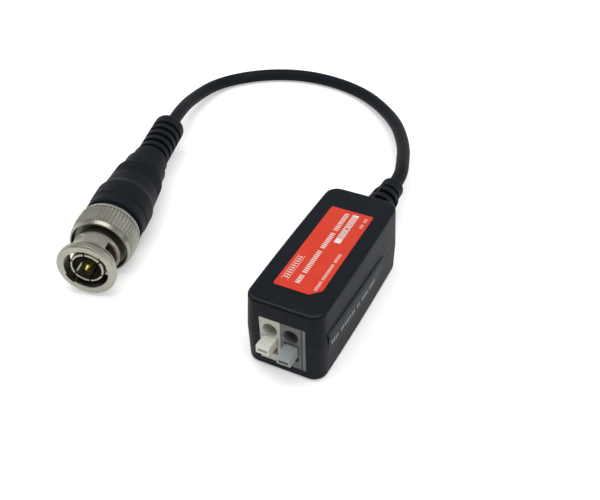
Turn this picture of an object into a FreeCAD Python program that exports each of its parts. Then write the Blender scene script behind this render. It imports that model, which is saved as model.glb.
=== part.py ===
import FreeCAD, Part
import math
import os

# Video balun: a small black plastic box with a two-pole push-lever terminal
# at its front, and a short coaxial lead with a bayonet plug at its rear.
# Millimetres. The origin is at the centre of the box's bottom face, +Z is up,
# the terminal faces -Y and the lead leaves the rear face towards +Y.

V = FreeCAD.Vector
X_AXIS = V(1, 0, 0)
Y_AXIS = V(0, 1, 0)
Z_AXIS = V(0, 0, 1)
TINY = 1e-6
OVERCUT = 1.0
FIT_GAP = 0.05

# Box: two shells that meet at a seam, which drops a little towards the rear
BOX_WIDTH = 18.0
BOX_LENGTH = 43.0
BOX_HEIGHT = 18.2
SEAM_FRONT = 9.6
SEAM_REAR = 7.6
WALL = 1.5
SIDE_BOW = 0.25
TOP_INSET = 0.4
FLOOR_INSET = 0.15
CORNER_RADIUS = 3.1
TOP_ROUND = 0.8
FLOOR_ROUND = 1.2
LIP_HEIGHT = 0.9
LIP_GAP = 0.06
SEAM_LINE = 0.15

# Grip pads: tongues of the lower shell that stand in notches of the upper one
PAD_FRONT = -18.4
PAD_REAR = 10.5
PAD_RISE = 2.4
PAD_FOOT = 4.6
PAD_PROUD_ENDS = 0.3
PAD_PROUD_MIDDLE = 0.5
PAD_FADE = 0.15
PAD_GAP = 0.15

# Top label film
LABEL_LEFT = -4.8
LABEL_RIGHT = 5.4
LABEL_FRONT = -15.3
LABEL_REAR = 13.5
LABEL_CUT = 2.1
LABEL_CORNER = 0.5
LABEL_THICKNESS = 0.1

# Terminal block: two pole bodies and an end plate, seen through the front wall
BLOCK_LEFT = -5.05
BLOCK_BOTTOM = 2.6
BLOCK_DEPTH = 10.8
BLOCK_RECESS = 0.2
BLOCK_GAP = 0.1
DRAFT_ROOM = 0.6
POLE_PITCH = 4.75
POLE_WALL = 0.8
FRONT_WALL = 0.9
REAR_WALL = 0.8
BLOCK_FLOOR = 0.8
BLOCK_ROOF = 0.8
END_PLATE = 0.95
END_GROOVE = 0.25

# Wire entry, from the pole body's left side and down from the block's top
ENTRY_ACROSS = 2.42
ENTRY_DROP = 2.9
ENTRY_RADIUS = 1.65
ENTRY_DEPTH = 2.2
THROAT_RADIUS = 1.25
THROAT_DEPTH = 3.5

# Levers: each swings on its own stub axles. Drops are measured from the block's top
LEVER_WIDTH = 3.0
LEVER_REACH = 3.6
LEVER_DROP = 5.25
LEVER_THICKNESS = 2.0
LEVER_ROOT = 0.3
LEVER_ROOT_DROP = 0.5
LEVER_TIP_ROUND = 0.25
LEVER_BEND = 0.5
LEVER_NOSE_BACK = 2.4
LEVER_SLOT_WIDTH = 2.2
LEVER_SLOT_HEIGHT = 0.75
LEVER_SLOT_DEPTHS = (0.7, 2.0)
LEVER_SLOT_LIP = 0.5
LEVER_SIDE_GAP = 0.12
PIVOT_DEPTH = 5.4
PIVOT_DROP = 7.1
HUB_RADIUS = 1.3
HUB_HEEL = 0.2
HUB_ROUND = 0.8
STUB_RADIUS = 0.75
STUB_LENGTH = 0.35
STUB_GAP = 0.06
SLOT_LOW_DROP = 9.6
SLOT_TOP_DROP = 4.8
ARM_DROP = 4.25
ARM_REAR = 8.5
ARM_THICKNESS = 0.65
ARM_RISE = 0.3
ARM_ROOT_ROUND = 0.4
ARM_TOP_ROUND = 0.2
LEVER_TILTS = (-4.0, 3.0)

# Contact bars, solder pins and clamp springs inside the poles
BAR_THICKNESS = 0.4
BAR_REAR = 6.3
PIN_WIDTH = 0.8
PIN_ABOVE_BOARD = 0.9
SPRING_THICKNESS = 0.3
SPRING_WIDTH = 1.9
SPRING_BEND = 0.7
SPRING_TIP_GAP = 0.1
SPRING_TIP_LIFT = 0.25
SPRING_BEND_BACK = 0.2

# Circuit board, which lies on the terminal block and on four posts
BOARD_ROOM = 1.6
BOARD_THICKNESS = 1.0
BOARD_GAP = 0.3
BOARD_CORNER = 1.3
POST_RADIUS = 1.1
POST_TO_WALL = 0.8
POST_TO_BLOCK = 1.8
REST_WIDTH = 8.0
REST_LENGTH = 1.2
HOLE_GAP = 0.1

# Transformer: a ferrite ring with two windings under the board
RING_OUTER = 5.0
RING_INNER = 2.5
RING_HEIGHT = 4.8
RING_ROUND = 0.5
RING_BELOW_BOARD = 0.3
TURN_WIRE = 0.45
TURN_BED = 0.15
TURN_GAP = 0.05
TURN_COUNT = 11
TURN_STEP = 15.0

# Small parts under the board, in a row from the terminal to the lead's tails
TUBE_RADIUS = 1.8
TUBE_LENGTH = 6.0
TUBE_WAIST = 1.55
RESISTOR_RADIUS = 1.1
RESISTOR_LENGTH = 6.2
RESISTOR_WAIST = 0.9
RESISTOR_END_ROUND = 0.4
RESISTOR_WAIST_ROUND = 0.2
RESISTOR_SLOPE = 0.3
CAPACITOR_RADIUS = 2.4
CAPACITOR_THICKNESS = 1.8
CAPACITOR_DROP = 0.6
PART_SPACING = 0.8
LEG_RADIUS = 0.3
LEG_BEND = 0.9
LEG_SPAN = 2.0
SOLDER_END = 0.6

# Lead: the points of its route, from the box's boot to the plug's boot
CABLE_RADIUS = 1.8
ROUTE = [
    (0.0, 41.0, 7.6),
    (0.0, 46.0, 7.6),
    (-1.5, 52.4, 7.1),
    (-6.3, 64.5, 5.3),
    (-14.2, 79.1, 3.2),
    (-30.8, 93.2, 1.9),
    (-48.5, 96.2, 1.9),
    (-64.0, 91.2, 1.9),
    (-75.0, 79.5, 2.1),
    (-75.2, 61.6, 4.7),
    (-70.6, 48.54, 7.8),
    (-68.6, 41.5, 7.8),
]
RUN_SHARE = 0.45

# Box boot: moulded on the lead, clipped in the rear wall
BOOT_ROOT = 4.4
BOOT_SLIM = 3.35
BOOT_TIP = 2.95
BOOT_NECK = 3.4
BOOT_FLANGE = 4.6
BOOT_FLANGE_THICKNESS = 1.6
BOOT_END_RIB = 3.9
BOOT_END_ROUND = 1.1
BOOT_PITCH = 3.1
BOOT_GROOVE = 1.5
BOOT_GROOVES = 5
BOOT_CORE_ROOT = 3.1
BOOT_CORE_TIP = 2.2
BOOT_WEB = 0.6
BOOT_WEB_TURN = -20.0
JACKET_INSIDE = 2.0
CORE_RADIUS = 0.75
BRAID_RADIUS = 0.6
TAIL_ACROSS = 0.9
TAIL_LENGTH = 2.5
TAIL_BEND = 1.2

# Plug: distances run back from the coupling nut's front face
NUT_FLANGE = 7.07
NUT_FLANGE_CHAMFER = 0.35
NUT_FLANGE_LENGTH = 1.5
NUT_FLARE_END = 3.3
NUT_FLARE_ROUND = 1.6
NUT_NECK = 5.75
NUT_NECK_END = 7.25
NUT_UNDERCUT = 5.4
NUT_BORE = 5.25
NUT_BORE_CHAMFER = 0.15
NUT_BORE_END = 6.5
NUT_REAR_BORE = 4.95
NUT_DISH = 9.5
NUT_DISH_RADIUS = 6.5
NUT_RIM = 8.35
NUT_RIM_INNER = 6.85
NUT_RIM_OUTER = 7.2
NUT_KNURL_START = 9.5
NUT_CROWN = 12.0
NUT_KNURL_END = 14.9
NUT_LENGTH = 16.0
NUT_BAND_FRONT = 7.5
NUT_BAND = 7.8
NUT_BAND_REAR = 7.68
NUT_TAIL = 7.4
NUT_CROWN_ROUND = 12.0
NUT_SHOULDER = 10.7
NUT_CAVITY = 6.3
NUT_EDGE_ROUND = 0.4
KNURL_COUNT = 54
KNURL_DEPTH = 0.22
KNURL_CREST = 0.02
RING_GROOVE = 6.7
RING_GROOVE_LENGTH = 0.65
RETAINER_LENGTH = 0.55
RETAINER_INNER = 5.3
RETAINER_SPLIT = 1.6
BAYONET_WIDTH = 2.6
BAYONET_START = 44.0
BAYONET_END = 147.0
BAYONET_DEPTH_START = 4.8
BAYONET_RISE = 0.7
BAYONET_OVERCUT = 0.6
CHANNEL_RADIUS = 5.6
CHANNEL_WIDTH = 2.8

SLEEVE_RADIUS = 4.1
SLEEVE_INNER = 3.5
SLEEVE_FRONT = 0.8
SLEEVE_CHAMFER = 0.2
SLEEVE_SEAT = 3.9
SLEEVE_SLOTS = 6
SLEEVE_SLOT = 0.4
SLEEVE_SLOT_LENGTH = 6.0
SLEEVE_SLOT_PHASE = -1.0
BARREL_RADIUS = 4.75
REAR_BARREL = 4.6
COLLAR_RADIUS = 6.1
COLLAR_LENGTH = 1.1
GASKET_LENGTH = 2.0
GASKET_RADIUS = 4.85
GASKET_FRONT = 6.6
GASKET_ROUND = 0.2
WAVE_LENGTH = 1.9
WAVE_INNER = 4.8
WAVE_OUTER = 6.0
WAVE_SHEET = 0.3
WAVE_COUNT = 3
WAVE_POINTS = 24
WASHER_OUTER = 6.15
WASHER_LENGTH = 0.9
BODY_SHOULDER = 18.7
SHANK_RADIUS = 2.6
SHANK_END = 24.8
CORE_BORE = 1.6
INSULATOR_FRONT = 6.4
INSULATOR_END = 12.8
CENTRE_PIN = 0.675
CENTRE_PIN_REAR = 0.95
CENTRE_PIN_POINT = 0.2
CENTRE_PIN_FRONT = 0.4
CENTRE_PIN_TIP = 0.9
CENTRE_PIN_STEP = 6.2
CENTRE_PIN_COLLAR = 1.2
CENTRE_PIN_COLLAR_LENGTH = 1.0
CENTRE_PIN_END = 15.8
CORE_IN_PLUG = 1.1
FERRULE_WALL = 0.5
FERRULE_END = 27.8

# Plug boot: moulded over the rear of the plug and the end of the lead
PLUG_LENGTH = 63.5
GRIP_START = 16.5
GRIP_NECK = 6.7
GRIP_NECK_LENGTH = 0.9
GRIP_COLLAR = 7.36
GRIP_COLLAR_ROUND = 0.6
GRIP_STEP = 21.0
GRIP_STEP_LENGTH = 0.15
GRIP_SWELL = 7.5
GRIP_SWELL_END = 25.7
GRIP_SWELL_ROUND = 2.0
GRIP_BODY_START = 27.6
GRIP_BODY_FRONT = 6.86
GRIP_BODY_REAR = 6.28
GRIP_BODY_END = 36.9
GRIP_BODY_ROUND = 0.5
FINE_RIDGES = 5
FINE_PITCH = 0.85
FINE_DEPTH = 0.12
FINE_SLOPE = 0.05
FINE_TO_END = 0.8
WAIST_RADIUS = 5.1
WAIST_LENGTH = 0.8
SHOULDER_RADIUS = 5.65
SHOULDER_REAR = 5.5
SHOULDER_END = 41.9
SHOULDER_ROUND = 0.3
STEP_GAP = 1.0
STEP_RADIUS = 4.7
STEP_ROUND = 0.35
RELIEF_RADIUS = 4.3
RELIEF_GROOVE = 1.4
RELIEF_PITCH = 3.0
RELIEF_GROOVES = 5
RELIEF_CORE = 3.05
RELIEF_FIRST = 46.8
RELIEF_ROUND = 1.2


# Heights and places that follow from the sizes
BLOCK_FACE = -BOX_LENGTH / 2 + BLOCK_RECESS
BLOCK_REAR = BLOCK_FACE + BLOCK_DEPTH
BLOCK_RIGHT = BLOCK_LEFT + 2 * POLE_PITCH + END_PLATE
ROOF = BOX_HEIGHT - WALL
BOARD_TOP = ROOF - BOARD_ROOM
BLOCK_TOP = BOARD_TOP - BOARD_THICKNESS
BLOCK_HEIGHT = BLOCK_TOP - BLOCK_BOTTOM
ENTRY_HEIGHT = BLOCK_HEIGHT - ENTRY_DROP
LEVER_TOP = BLOCK_HEIGHT - LEVER_DROP
PIVOT_HEIGHT = BLOCK_HEIGHT - PIVOT_DROP
SLOT_LOW = BLOCK_HEIGHT - SLOT_LOW_DROP
SLOT_TOP = BLOCK_HEIGHT - SLOT_TOP_DROP
ARM_TOP = BLOCK_HEIGHT - ARM_DROP
INNER_FRONT = -BOX_LENGTH / 2 + WALL
INNER_REAR = BOX_LENGTH / 2 - WALL
BOOT_HEIGHT = ROUTE[0][2]
BOOT_END = ROUTE[0][1]
FLANGE_FRONT = INNER_REAR - BOOT_FLANGE_THICKNESS
JACKET_END = FLANGE_FRONT - JACKET_INSIDE
POST_ACROSS = BOX_WIDTH / 2 - WALL - POST_TO_WALL - POST_RADIUS
POST_FRONT = BLOCK_REAR + POST_TO_BLOCK + POST_RADIUS
POST_REAR = FLANGE_FRONT - 2 * FIT_GAP - POST_RADIUS
POST_PLACES = [(x, y) for x in (-POST_ACROSS, POST_ACROSS) for y in (POST_FRONT, POST_REAR)]
TUBE_PLACE = BLOCK_REAR + PART_SPACING + TUBE_RADIUS
TAIL_PLACE = JACKET_END - TAIL_LENGTH
RESISTOR_PLACE = TAIL_PLACE - CORE_RADIUS - PART_SPACING - RESISTOR_RADIUS
CAPACITOR_PLACE = RESISTOR_PLACE - RESISTOR_RADIUS - PART_SPACING - CAPACITOR_THICKNESS / 2
RING_PLACE = (TUBE_PLACE + TUBE_RADIUS + CAPACITOR_PLACE - CAPACITOR_THICKNESS / 2) / 2
RING_TOP = BLOCK_TOP - RING_BELOW_BOARD - TURN_WIRE - TURN_GAP


# Outlines and paths


def rounded_wire(points, radii, closed):
    """Straight runs joined by tangent arcs, one radius for each point."""
    count = len(points)
    corners = []
    for i in range(count):
        point = points[i]
        at_end = not closed and i in (0, count - 1)
        if at_end or radii[i] < TINY:
            corners.append((point, point, point))
            continue
        back = (points[i - 1] - point).normalize()
        ahead = (points[(i + 1) % count] - point).normalize()
        half = back.getAngle(ahead) / 2
        reach = radii[i] / math.tan(half)
        inward = (back + ahead).normalize()
        middle = point + inward * (radii[i] / math.sin(half) - radii[i])
        corners.append((point + back * reach, middle, point + ahead * reach))
    edges = []
    last = count if closed else count - 1
    for i in range(count):
        start, middle, end = corners[i]
        if start.distanceToPoint(end) > TINY:
            edges.append(Part.Arc(start, middle, end).toShape())
        if i < last:
            goal = corners[(i + 1) % count][0]
            if end.distanceToPoint(goal) > TINY:
                edges.append(Part.LineSegment(end, goal).toShape())
    return Part.Wire(edges)


def sharp_wire(points):
    return rounded_wire(points, [0] * len(points), True)


def turned(profile):
    """A solid turned about Z from (radius, height, round) corners."""
    points = [V(corner[0], 0, corner[1]) for corner in profile]
    radii = [corner[2] if len(corner) > 2 else 0 for corner in profile]
    face = Part.Face(rounded_wire(points, radii, True))
    return face.revolve(V(0, 0, 0), Z_AXIS, 360)


def tube(outer, inner, start, end):
    """A plain tube along Z."""
    return turned([(inner, start), (outer, start), (outer, end), (inner, end)])


def rod(radius, start, end):
    """A cylinder between two points."""
    axis = end - start
    return Part.makeCylinder(radius, axis.Length, start, axis)


def box(low, high):
    size = [high[i] - low[i] for i in range(3)]
    return Part.makeBox(size[0], size[1], size[2], V(*low))


def side_profile(points, left, right, radii=None):
    """A solid of one side outline, (depth, height) corners, between two x places."""
    corners = [V(left, depth, height) for depth, height in points]
    outline = rounded_wire(corners, radii, True) if radii else sharp_wire(corners)
    return Part.Face(outline).extrude(V(right - left, 0, 0))


def strip(points, radii, thickness, left, right):
    """A bent strip of sheet metal: its middle line in side view, and its width."""
    path = rounded_wire([V(left, depth, height) for depth, height in points], radii, False)
    edge = path.makeOffset2D(thickness / 2, 0, False, True)
    face = edge.makeOffset2D(-thickness, 0, True, True)
    return face.extrude(V(right - left, 0, 0))


def wire_along(points, bend, radius):
    """A round wire along straight runs with equal bends."""
    path = rounded_wire(points, [bend] * len(points), False)
    ring = Part.Wire(Part.makeCircle(radius, points[0], points[1] - points[0]))
    return path.makePipeShell([ring], True, False)


def carved(form, cutters):
    """The form with each cutter taken out in turn."""
    for cutter in cutters:
        form = form.cut(cutter)
    return form


def grouped(solids):
    return Part.makeCompound(solids)


# Box shells


def seam_height(y):
    share = (y + BOX_LENGTH / 2) / BOX_LENGTH
    return SEAM_FRONT + (SEAM_REAR - SEAM_FRONT) * share


def level(height):
    return lambda y: height


def seam_shifted(rise):
    return lambda y: seam_height(y) + rise


def box_outline(inset, height):
    """The box's plan outline, with bowed sides, at a height for each y."""
    right = BOX_WIDTH / 2 - inset
    rear = BOX_LENGTH / 2 - inset
    bowed = right + SIDE_BOW

    def corner(x, y):
        return V(x, y, height(y))

    return Part.Wire([
        Part.LineSegment(corner(-right, -rear), corner(right, -rear)).toShape(),
        Part.Arc(corner(right, -rear), corner(bowed, 0), corner(right, rear)).toShape(),
        Part.LineSegment(corner(right, rear), corner(-right, rear)).toShape(),
        Part.Arc(corner(-right, rear), corner(-bowed, 0), corner(-right, -rear)).toShape(),
    ])


def is_upright(edge):
    first = edge.firstVertex().Point
    last = edge.lastVertex().Point
    across = math.hypot(last.x - first.x, last.y - first.y)
    return abs(last.z - first.z) > across


def box_form(low_inset, low_height, high_inset, high_height, corner_radius):
    low = box_outline(low_inset, low_height)
    high = box_outline(high_inset, high_height)
    form = Part.makeLoft([low, high], True, True)
    upright = [edge for edge in form.Edges if is_upright(edge)]
    return form.makeFillet(corner_radius, upright)


def round_level_edges(form, height, radius):
    """Round the edges that lie at one height."""
    edges = [
        edge for edge in form.Edges
        if abs(edge.BoundBox.ZMin - height) < 1e-3 and abs(edge.BoundBox.ZMax - height) < 1e-3
    ]
    return form.makeFillet(radius, edges)


def seam_ring(outer_inset, inner_inset, low_rise, high_rise):
    """A ring of the wall's own outline that follows the seam."""
    outer = box_form(outer_inset, seam_shifted(low_rise), outer_inset,
                     seam_shifted(high_rise), CORNER_RADIUS - outer_inset)
    inner = box_form(inner_inset, seam_shifted(low_rise - OVERCUT), inner_inset,
                     seam_shifted(high_rise + OVERCUT), CORNER_RADIUS - inner_inset)
    return outer.cut(inner)


def side_place(y):
    """The outer face of the wall at the seam, without the grip pad."""
    return BOX_WIDTH / 2 + SIDE_BOW * (1 - (2 * y / BOX_LENGTH) ** 2)


def pad_outline(side, proud_ends, proud_middle, height):
    """A grip pad's section: straight inside the wall, swelling outside."""
    middle = (PAD_FRONT + PAD_REAR) / 2
    inner = BOX_WIDTH / 2 - WALL

    def corner(x, y):
        return V(side * x, y, height(y))

    front_out = corner(side_place(PAD_FRONT) + proud_ends, PAD_FRONT)
    middle_out = corner(side_place(middle) + proud_middle, middle)
    rear_out = corner(side_place(PAD_REAR) + proud_ends, PAD_REAR)
    front_in = corner(inner, PAD_FRONT)
    rear_in = corner(inner, PAD_REAR)
    return Part.Wire([
        Part.LineSegment(front_in, front_out).toShape(),
        Part.Arc(front_out, middle_out, rear_out).toShape(),
        Part.LineSegment(rear_out, rear_in).toShape(),
        Part.LineSegment(rear_in, front_in).toShape(),
    ])


def grip_pad(side):
    foot = pad_outline(side, -PAD_FADE, -PAD_FADE, level(PAD_FOOT))
    top = pad_outline(side, PAD_PROUD_ENDS, PAD_PROUD_MIDDLE, seam_shifted(PAD_RISE))
    return Part.makeLoft([foot, top], True, True)


def pad_notch(side):
    """The room that the upper shell leaves for a pad."""
    front = PAD_FRONT - PAD_GAP
    rear = PAD_REAR + PAD_GAP
    outline = [
        (front, seam_height(front) - OVERCUT),
        (rear, seam_height(rear) - OVERCUT),
        (rear, seam_height(rear) + PAD_RISE + PAD_GAP),
        (front, seam_height(front) + PAD_RISE + PAD_GAP),
    ]
    inner = BOX_WIDTH / 2 - WALL - PAD_GAP
    outer = BOX_WIDTH / 2 + OVERCUT
    left, right = sorted((side * inner, side * outer))
    return side_profile(outline, left, right)


def terminal_opening():
    low = (BLOCK_LEFT - BLOCK_GAP, -BOX_LENGTH / 2 - OVERCUT, BLOCK_BOTTOM - BLOCK_GAP)
    high = (BLOCK_RIGHT + BLOCK_GAP, INNER_FRONT + DRAFT_ROOM, BLOCK_TOP + BLOCK_GAP)
    return box(low, high)


def boot_hole():
    """The hole for the boot's neck, and a flat seat for its inner flange."""
    start = V(0, INNER_REAR - OVERCUT, BOOT_HEIGHT)
    seat = V(0, INNER_REAR, BOOT_HEIGHT)
    end = V(0, BOX_LENGTH / 2 + OVERCUT, BOOT_HEIGHT)
    return rod(BOOT_NECK + FIT_GAP, start, end).fuse(rod(BOOT_FLANGE + BLOCK_GAP, start, seat))


def upper_shell():
    """The cover: top, walls down to the seam, and pegs that hold the board down."""
    form = box_form(0, seam_height, TOP_INSET, level(BOX_HEIGHT), CORNER_RADIUS)
    form = round_level_edges(form, BOX_HEIGHT, TOP_ROUND)
    hollow = box_form(WALL, seam_shifted(-OVERCUT), WALL + TOP_INSET, level(ROOF),
                      CORNER_RADIUS - WALL)
    rebate = seam_ring(WALL / 2, WALL + OVERCUT / 2, -OVERCUT, LIP_HEIGHT + LIP_GAP)
    line = seam_ring(-OVERCUT, SEAM_LINE, -OVERCUT, SEAM_LINE)
    shell = carved(form, [hollow, rebate, line])
    shell = shell.cut(grouped([terminal_opening(), boot_hole(), pad_notch(-1), pad_notch(1)]))
    pegs = [rod(POST_RADIUS, V(x, y, BOARD_TOP), V(x, y, ROOF + WALL / 2)) for x, y in POST_PLACES]
    return shell.fuse(pegs).removeSplitter()


def lower_shell():
    """The base: floor, walls, grip pads, board posts and a rest for the terminal."""
    form = box_form(FLOOR_INSET, level(0), 0, seam_height, CORNER_RADIUS)
    form = round_level_edges(form, 0, FLOOR_ROUND)
    hollow = box_form(WALL + FLOOR_INSET, level(WALL), WALL, seam_shifted(OVERCUT),
                      CORNER_RADIUS - WALL)
    shell = form.cut(hollow)
    lip = seam_ring(WALL / 2 + LIP_GAP, WALL, -WALL, LIP_HEIGHT)
    posts = [rod(POST_RADIUS, V(x, y, WALL / 2), V(x, y, BLOCK_TOP)) for x, y in POST_PLACES]
    rests = [
        box((-REST_WIDTH / 2, y, WALL / 2), (REST_WIDTH / 2, y + REST_LENGTH, BLOCK_BOTTOM))
        for y in (INNER_FRONT + DRAFT_ROOM, BLOCK_REAR - REST_LENGTH)
    ]
    shell = shell.fuse([lip] + posts + rests + [grip_pad(-1), grip_pad(1)])
    return shell.cut(grouped([terminal_opening(), boot_hole()])).removeSplitter()


def top_label():
    low = BOX_HEIGHT
    corners = [
        (LABEL_LEFT, LABEL_FRONT),
        (LABEL_RIGHT - LABEL_CUT, LABEL_FRONT),
        (LABEL_RIGHT, LABEL_FRONT + LABEL_CUT),
        (LABEL_RIGHT, LABEL_REAR),
        (LABEL_LEFT, LABEL_REAR),
    ]
    outline = rounded_wire([V(x, y, low) for x, y in corners], [LABEL_CORNER] * 5, True)
    return Part.Face(outline).extrude(V(0, 0, LABEL_THICKNESS))


# Terminal block


def in_block(depth, height):
    """A side-view corner, from the block's face and its bottom."""
    return (BLOCK_FACE + depth, BLOCK_BOTTOM + height)


def block_corners(corners):
    return [in_block(depth, height) for depth, height in corners]


def pole_left(pole):
    return BLOCK_LEFT + pole * POLE_PITCH


def wire_entry(pole):
    """The funnel that a wire goes into."""
    start = -OVERCUT
    profile = [
        (0, start),
        (ENTRY_RADIUS, start),
        (ENTRY_RADIUS, ENTRY_DEPTH),
        (THROAT_RADIUS, THROAT_DEPTH),
        (THROAT_RADIUS, THROAT_DEPTH + OVERCUT),
        (0, THROAT_DEPTH + OVERCUT),
    ]
    funnel = turned(profile)
    funnel.rotate(V(0, 0, 0), X_AXIS, -90)
    funnel.translate(V(pole_left(pole) + ENTRY_ACROSS, BLOCK_FACE, BLOCK_BOTTOM + ENTRY_HEIGHT))
    return funnel


def pivot_place():
    return in_block(PIVOT_DEPTH, PIVOT_HEIGHT)


def pivot_bore(left, right):
    y, z = pivot_place()
    return rod(STUB_RADIUS + STUB_GAP, V(left, y, z), V(right, y, z))


def solder_pin_place(pole):
    """Low corner of a contact's upright, in plan."""
    x = pole_left(pole) + POLE_WALL + FIT_GAP
    y = BLOCK_FACE + THROAT_DEPTH
    return x, y


def pole_body(pole):
    """One moulded pole: closed at its left, open at its right like the real ones."""
    left = pole_left(pole)
    right = left + POLE_PITCH
    body = box((left, BLOCK_FACE, BLOCK_BOTTOM), (right, BLOCK_REAR, BLOCK_TOP))
    rear = BLOCK_DEPTH - REAR_WALL
    ceiling = BLOCK_HEIGHT - BLOCK_ROOF
    chamber = block_corners([
        (FRONT_WALL, BLOCK_FLOOR),
        (rear, BLOCK_FLOOR),
        (rear, ceiling),
        (THROAT_DEPTH, ceiling),
        (THROAT_DEPTH, SLOT_TOP),
        (FRONT_WALL, SLOT_TOP),
    ])
    room = side_profile(chamber, left + POLE_WALL, right + OVERCUT)
    middle = left + ENTRY_ACROSS
    reach = LEVER_WIDTH / 2 + LEVER_SIDE_GAP
    slot = box((middle - reach, BLOCK_FACE - OVERCUT, BLOCK_BOTTOM + SLOT_LOW),
               (middle + reach, BLOCK_FACE + FRONT_WALL + TINY, BLOCK_BOTTOM + SLOT_TOP))
    x, y = solder_pin_place(pole)
    pin_way = box((x - FIT_GAP, y, BLOCK_BOTTOM + ceiling - OVERCUT),
                  (x + BAR_THICKNESS + FIT_GAP, y + PIN_WIDTH + FIT_GAP, BLOCK_TOP + OVERCUT))
    bore = pivot_bore(left - OVERCUT, left + POLE_WALL + OVERCUT)
    return body.cut(grouped([room, slot, wire_entry(pole), pin_way, bore]))


def end_plate():
    """The plate that closes the last pole, with a groove down its front edge."""
    left = pole_left(2)
    plate = box((left, BLOCK_FACE, BLOCK_BOTTOM), (left + END_PLATE, BLOCK_REAR, BLOCK_TOP))
    groove = box((left, BLOCK_FACE - OVERCUT, BLOCK_BOTTOM - OVERCUT),
                 (left + END_GROOVE, BLOCK_FACE + END_GROOVE, BLOCK_TOP + OVERCUT))
    bore = pivot_bore(left - OVERCUT, left + STUB_LENGTH + STUB_GAP)
    return plate.cut(grouped([groove, bore]))


def lever(pole):
    """A push lever: finger tongue, hub with stub axles, and an arm under the spring."""
    tongue_low = LEVER_TOP - LEVER_THICKNESS
    hub_low = PIVOT_HEIGHT - HUB_RADIUS
    hub_top = PIVOT_HEIGHT + HUB_RADIUS
    arm_front = ARM_REAR - ARM_THICKNESS
    outline = block_corners([
        (-LEVER_REACH, tongue_low),
        (LEVER_ROOT, tongue_low - LEVER_ROOT_DROP),
        (PIVOT_DEPTH, hub_low),
        (PIVOT_DEPTH + HUB_RADIUS + HUB_HEEL, hub_low),
        (ARM_REAR, hub_top),
        (ARM_REAR, ARM_TOP),
        (arm_front, ARM_TOP),
        (arm_front, hub_top + ARM_RISE),
        (PIVOT_DEPTH, hub_top),
        (PIVOT_DEPTH - LEVER_NOSE_BACK, LEVER_TOP),
        (-LEVER_REACH, LEVER_TOP),
    ])
    radii = [LEVER_TIP_ROUND, LEVER_BEND, HUB_ROUND, HUB_ROUND, ARM_ROOT_ROUND, ARM_TOP_ROUND,
             ARM_TOP_ROUND, ARM_ROOT_ROUND, LEVER_BEND, LEVER_BEND, LEVER_TIP_ROUND]
    middle = pole_left(pole) + ENTRY_ACROSS
    blade = side_profile(outline, middle - LEVER_WIDTH / 2, middle + LEVER_WIDTH / 2, radii)
    face = BLOCK_FACE - LEVER_REACH
    slot_low = BLOCK_BOTTOM + tongue_low + LEVER_SLOT_LIP
    slot = box((middle - LEVER_SLOT_WIDTH / 2, face - OVERCUT, slot_low),
               (middle + LEVER_SLOT_WIDTH / 2, face + LEVER_SLOT_DEPTHS[pole],
                slot_low + LEVER_SLOT_HEIGHT))
    y, z = pivot_place()
    stub_left = pole_left(pole) + POLE_WALL - STUB_LENGTH
    stub_right = pole_left(pole + 1) + STUB_LENGTH
    axle = rod(STUB_RADIUS, V(stub_left, y, z), V(stub_right, y, z))
    shape = blade.cut(slot).fuse(axle)
    shape.rotate(V(0, y, z), X_AXIS, LEVER_TILTS[pole])
    return shape


def contact_bar(pole):
    """The tinned bar under the wire, its upright and its solder pin."""
    x, y = solder_pin_place(pole)
    bar_top = BLOCK_BOTTOM + ENTRY_HEIGHT - THROAT_RADIUS
    bar_low = bar_top - BAR_THICKNESS
    right = pole_left(pole) + ENTRY_ACROSS + THROAT_RADIUS
    rear = BLOCK_FACE + BAR_REAR
    bar = box((x, y, bar_low), (right, rear, bar_top))
    ceiling = BLOCK_TOP - BLOCK_ROOF
    upright = box((x, y, bar_low), (x + BAR_THICKNESS, rear, ceiling))
    pin = box((x, y, bar_low), (x + BAR_THICKNESS, y + PIN_WIDTH, BOARD_TOP + PIN_ABOVE_BOARD))
    return bar.fuse([upright, pin]).removeSplitter()


def clamp_spring(pole):
    """A bent leaf: along the ceiling, round a bend, and down to the bar's end."""
    ceiling = BLOCK_HEIGHT - BLOCK_ROOF - SPRING_THICKNESS / 2
    bend = THROAT_DEPTH + SPRING_THICKNESS / 2 + BAR_THICKNESS
    tip = ARM_TOP + SPRING_TIP_GAP + SPRING_THICKNESS
    low = ENTRY_HEIGHT - THROAT_RADIUS + SPRING_TIP_GAP + SPRING_THICKNESS / 2
    points = block_corners([
        (BLOCK_DEPTH - REAR_WALL - FIT_GAP, ceiling),
        (bend, ceiling),
        (BAR_REAR - SPRING_BEND_BACK, low),
        (ARM_REAR, tip + SPRING_TIP_LIFT),
    ])
    radii = [0, SPRING_BEND, SPRING_BEND, 0]
    middle = pole_left(pole) + ENTRY_ACROSS + BAR_THICKNESS / 2
    return strip(points, radii, SPRING_THICKNESS, middle - SPRING_WIDTH / 2,
                 middle + SPRING_WIDTH / 2)


# Board and what hangs under it


def leg_places():
    """Where round wires go through the board: place and radius."""
    places = []
    for span, y in ((TUBE_LENGTH, TUBE_PLACE), (RESISTOR_LENGTH, RESISTOR_PLACE)):
        reach = span / 2 + LEG_SPAN / 2
        places += [(-reach, y, LEG_RADIUS), (reach, y, LEG_RADIUS)]
    for side in (-1, 1):
        places.append((side * LEG_SPAN, CAPACITOR_PLACE, LEG_RADIUS))
    places += [(-TAIL_ACROSS, TAIL_PLACE, CORE_RADIUS), (TAIL_ACROSS, TAIL_PLACE, BRAID_RADIUS)]
    for x, y in winding_leg_places():
        places.append((x, y, TURN_WIRE / 2))
    return places


def winding_leg_places():
    reach = RING_OUTER + TURN_GAP + TURN_WIRE + TURN_WIRE / 4
    angles = [math.radians(half + end) for half in (0, 180) for end in (TURN_STEP, 180 - TURN_STEP)]
    return [(reach * math.cos(angle), RING_PLACE + reach * math.sin(angle)) for angle in angles]


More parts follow.
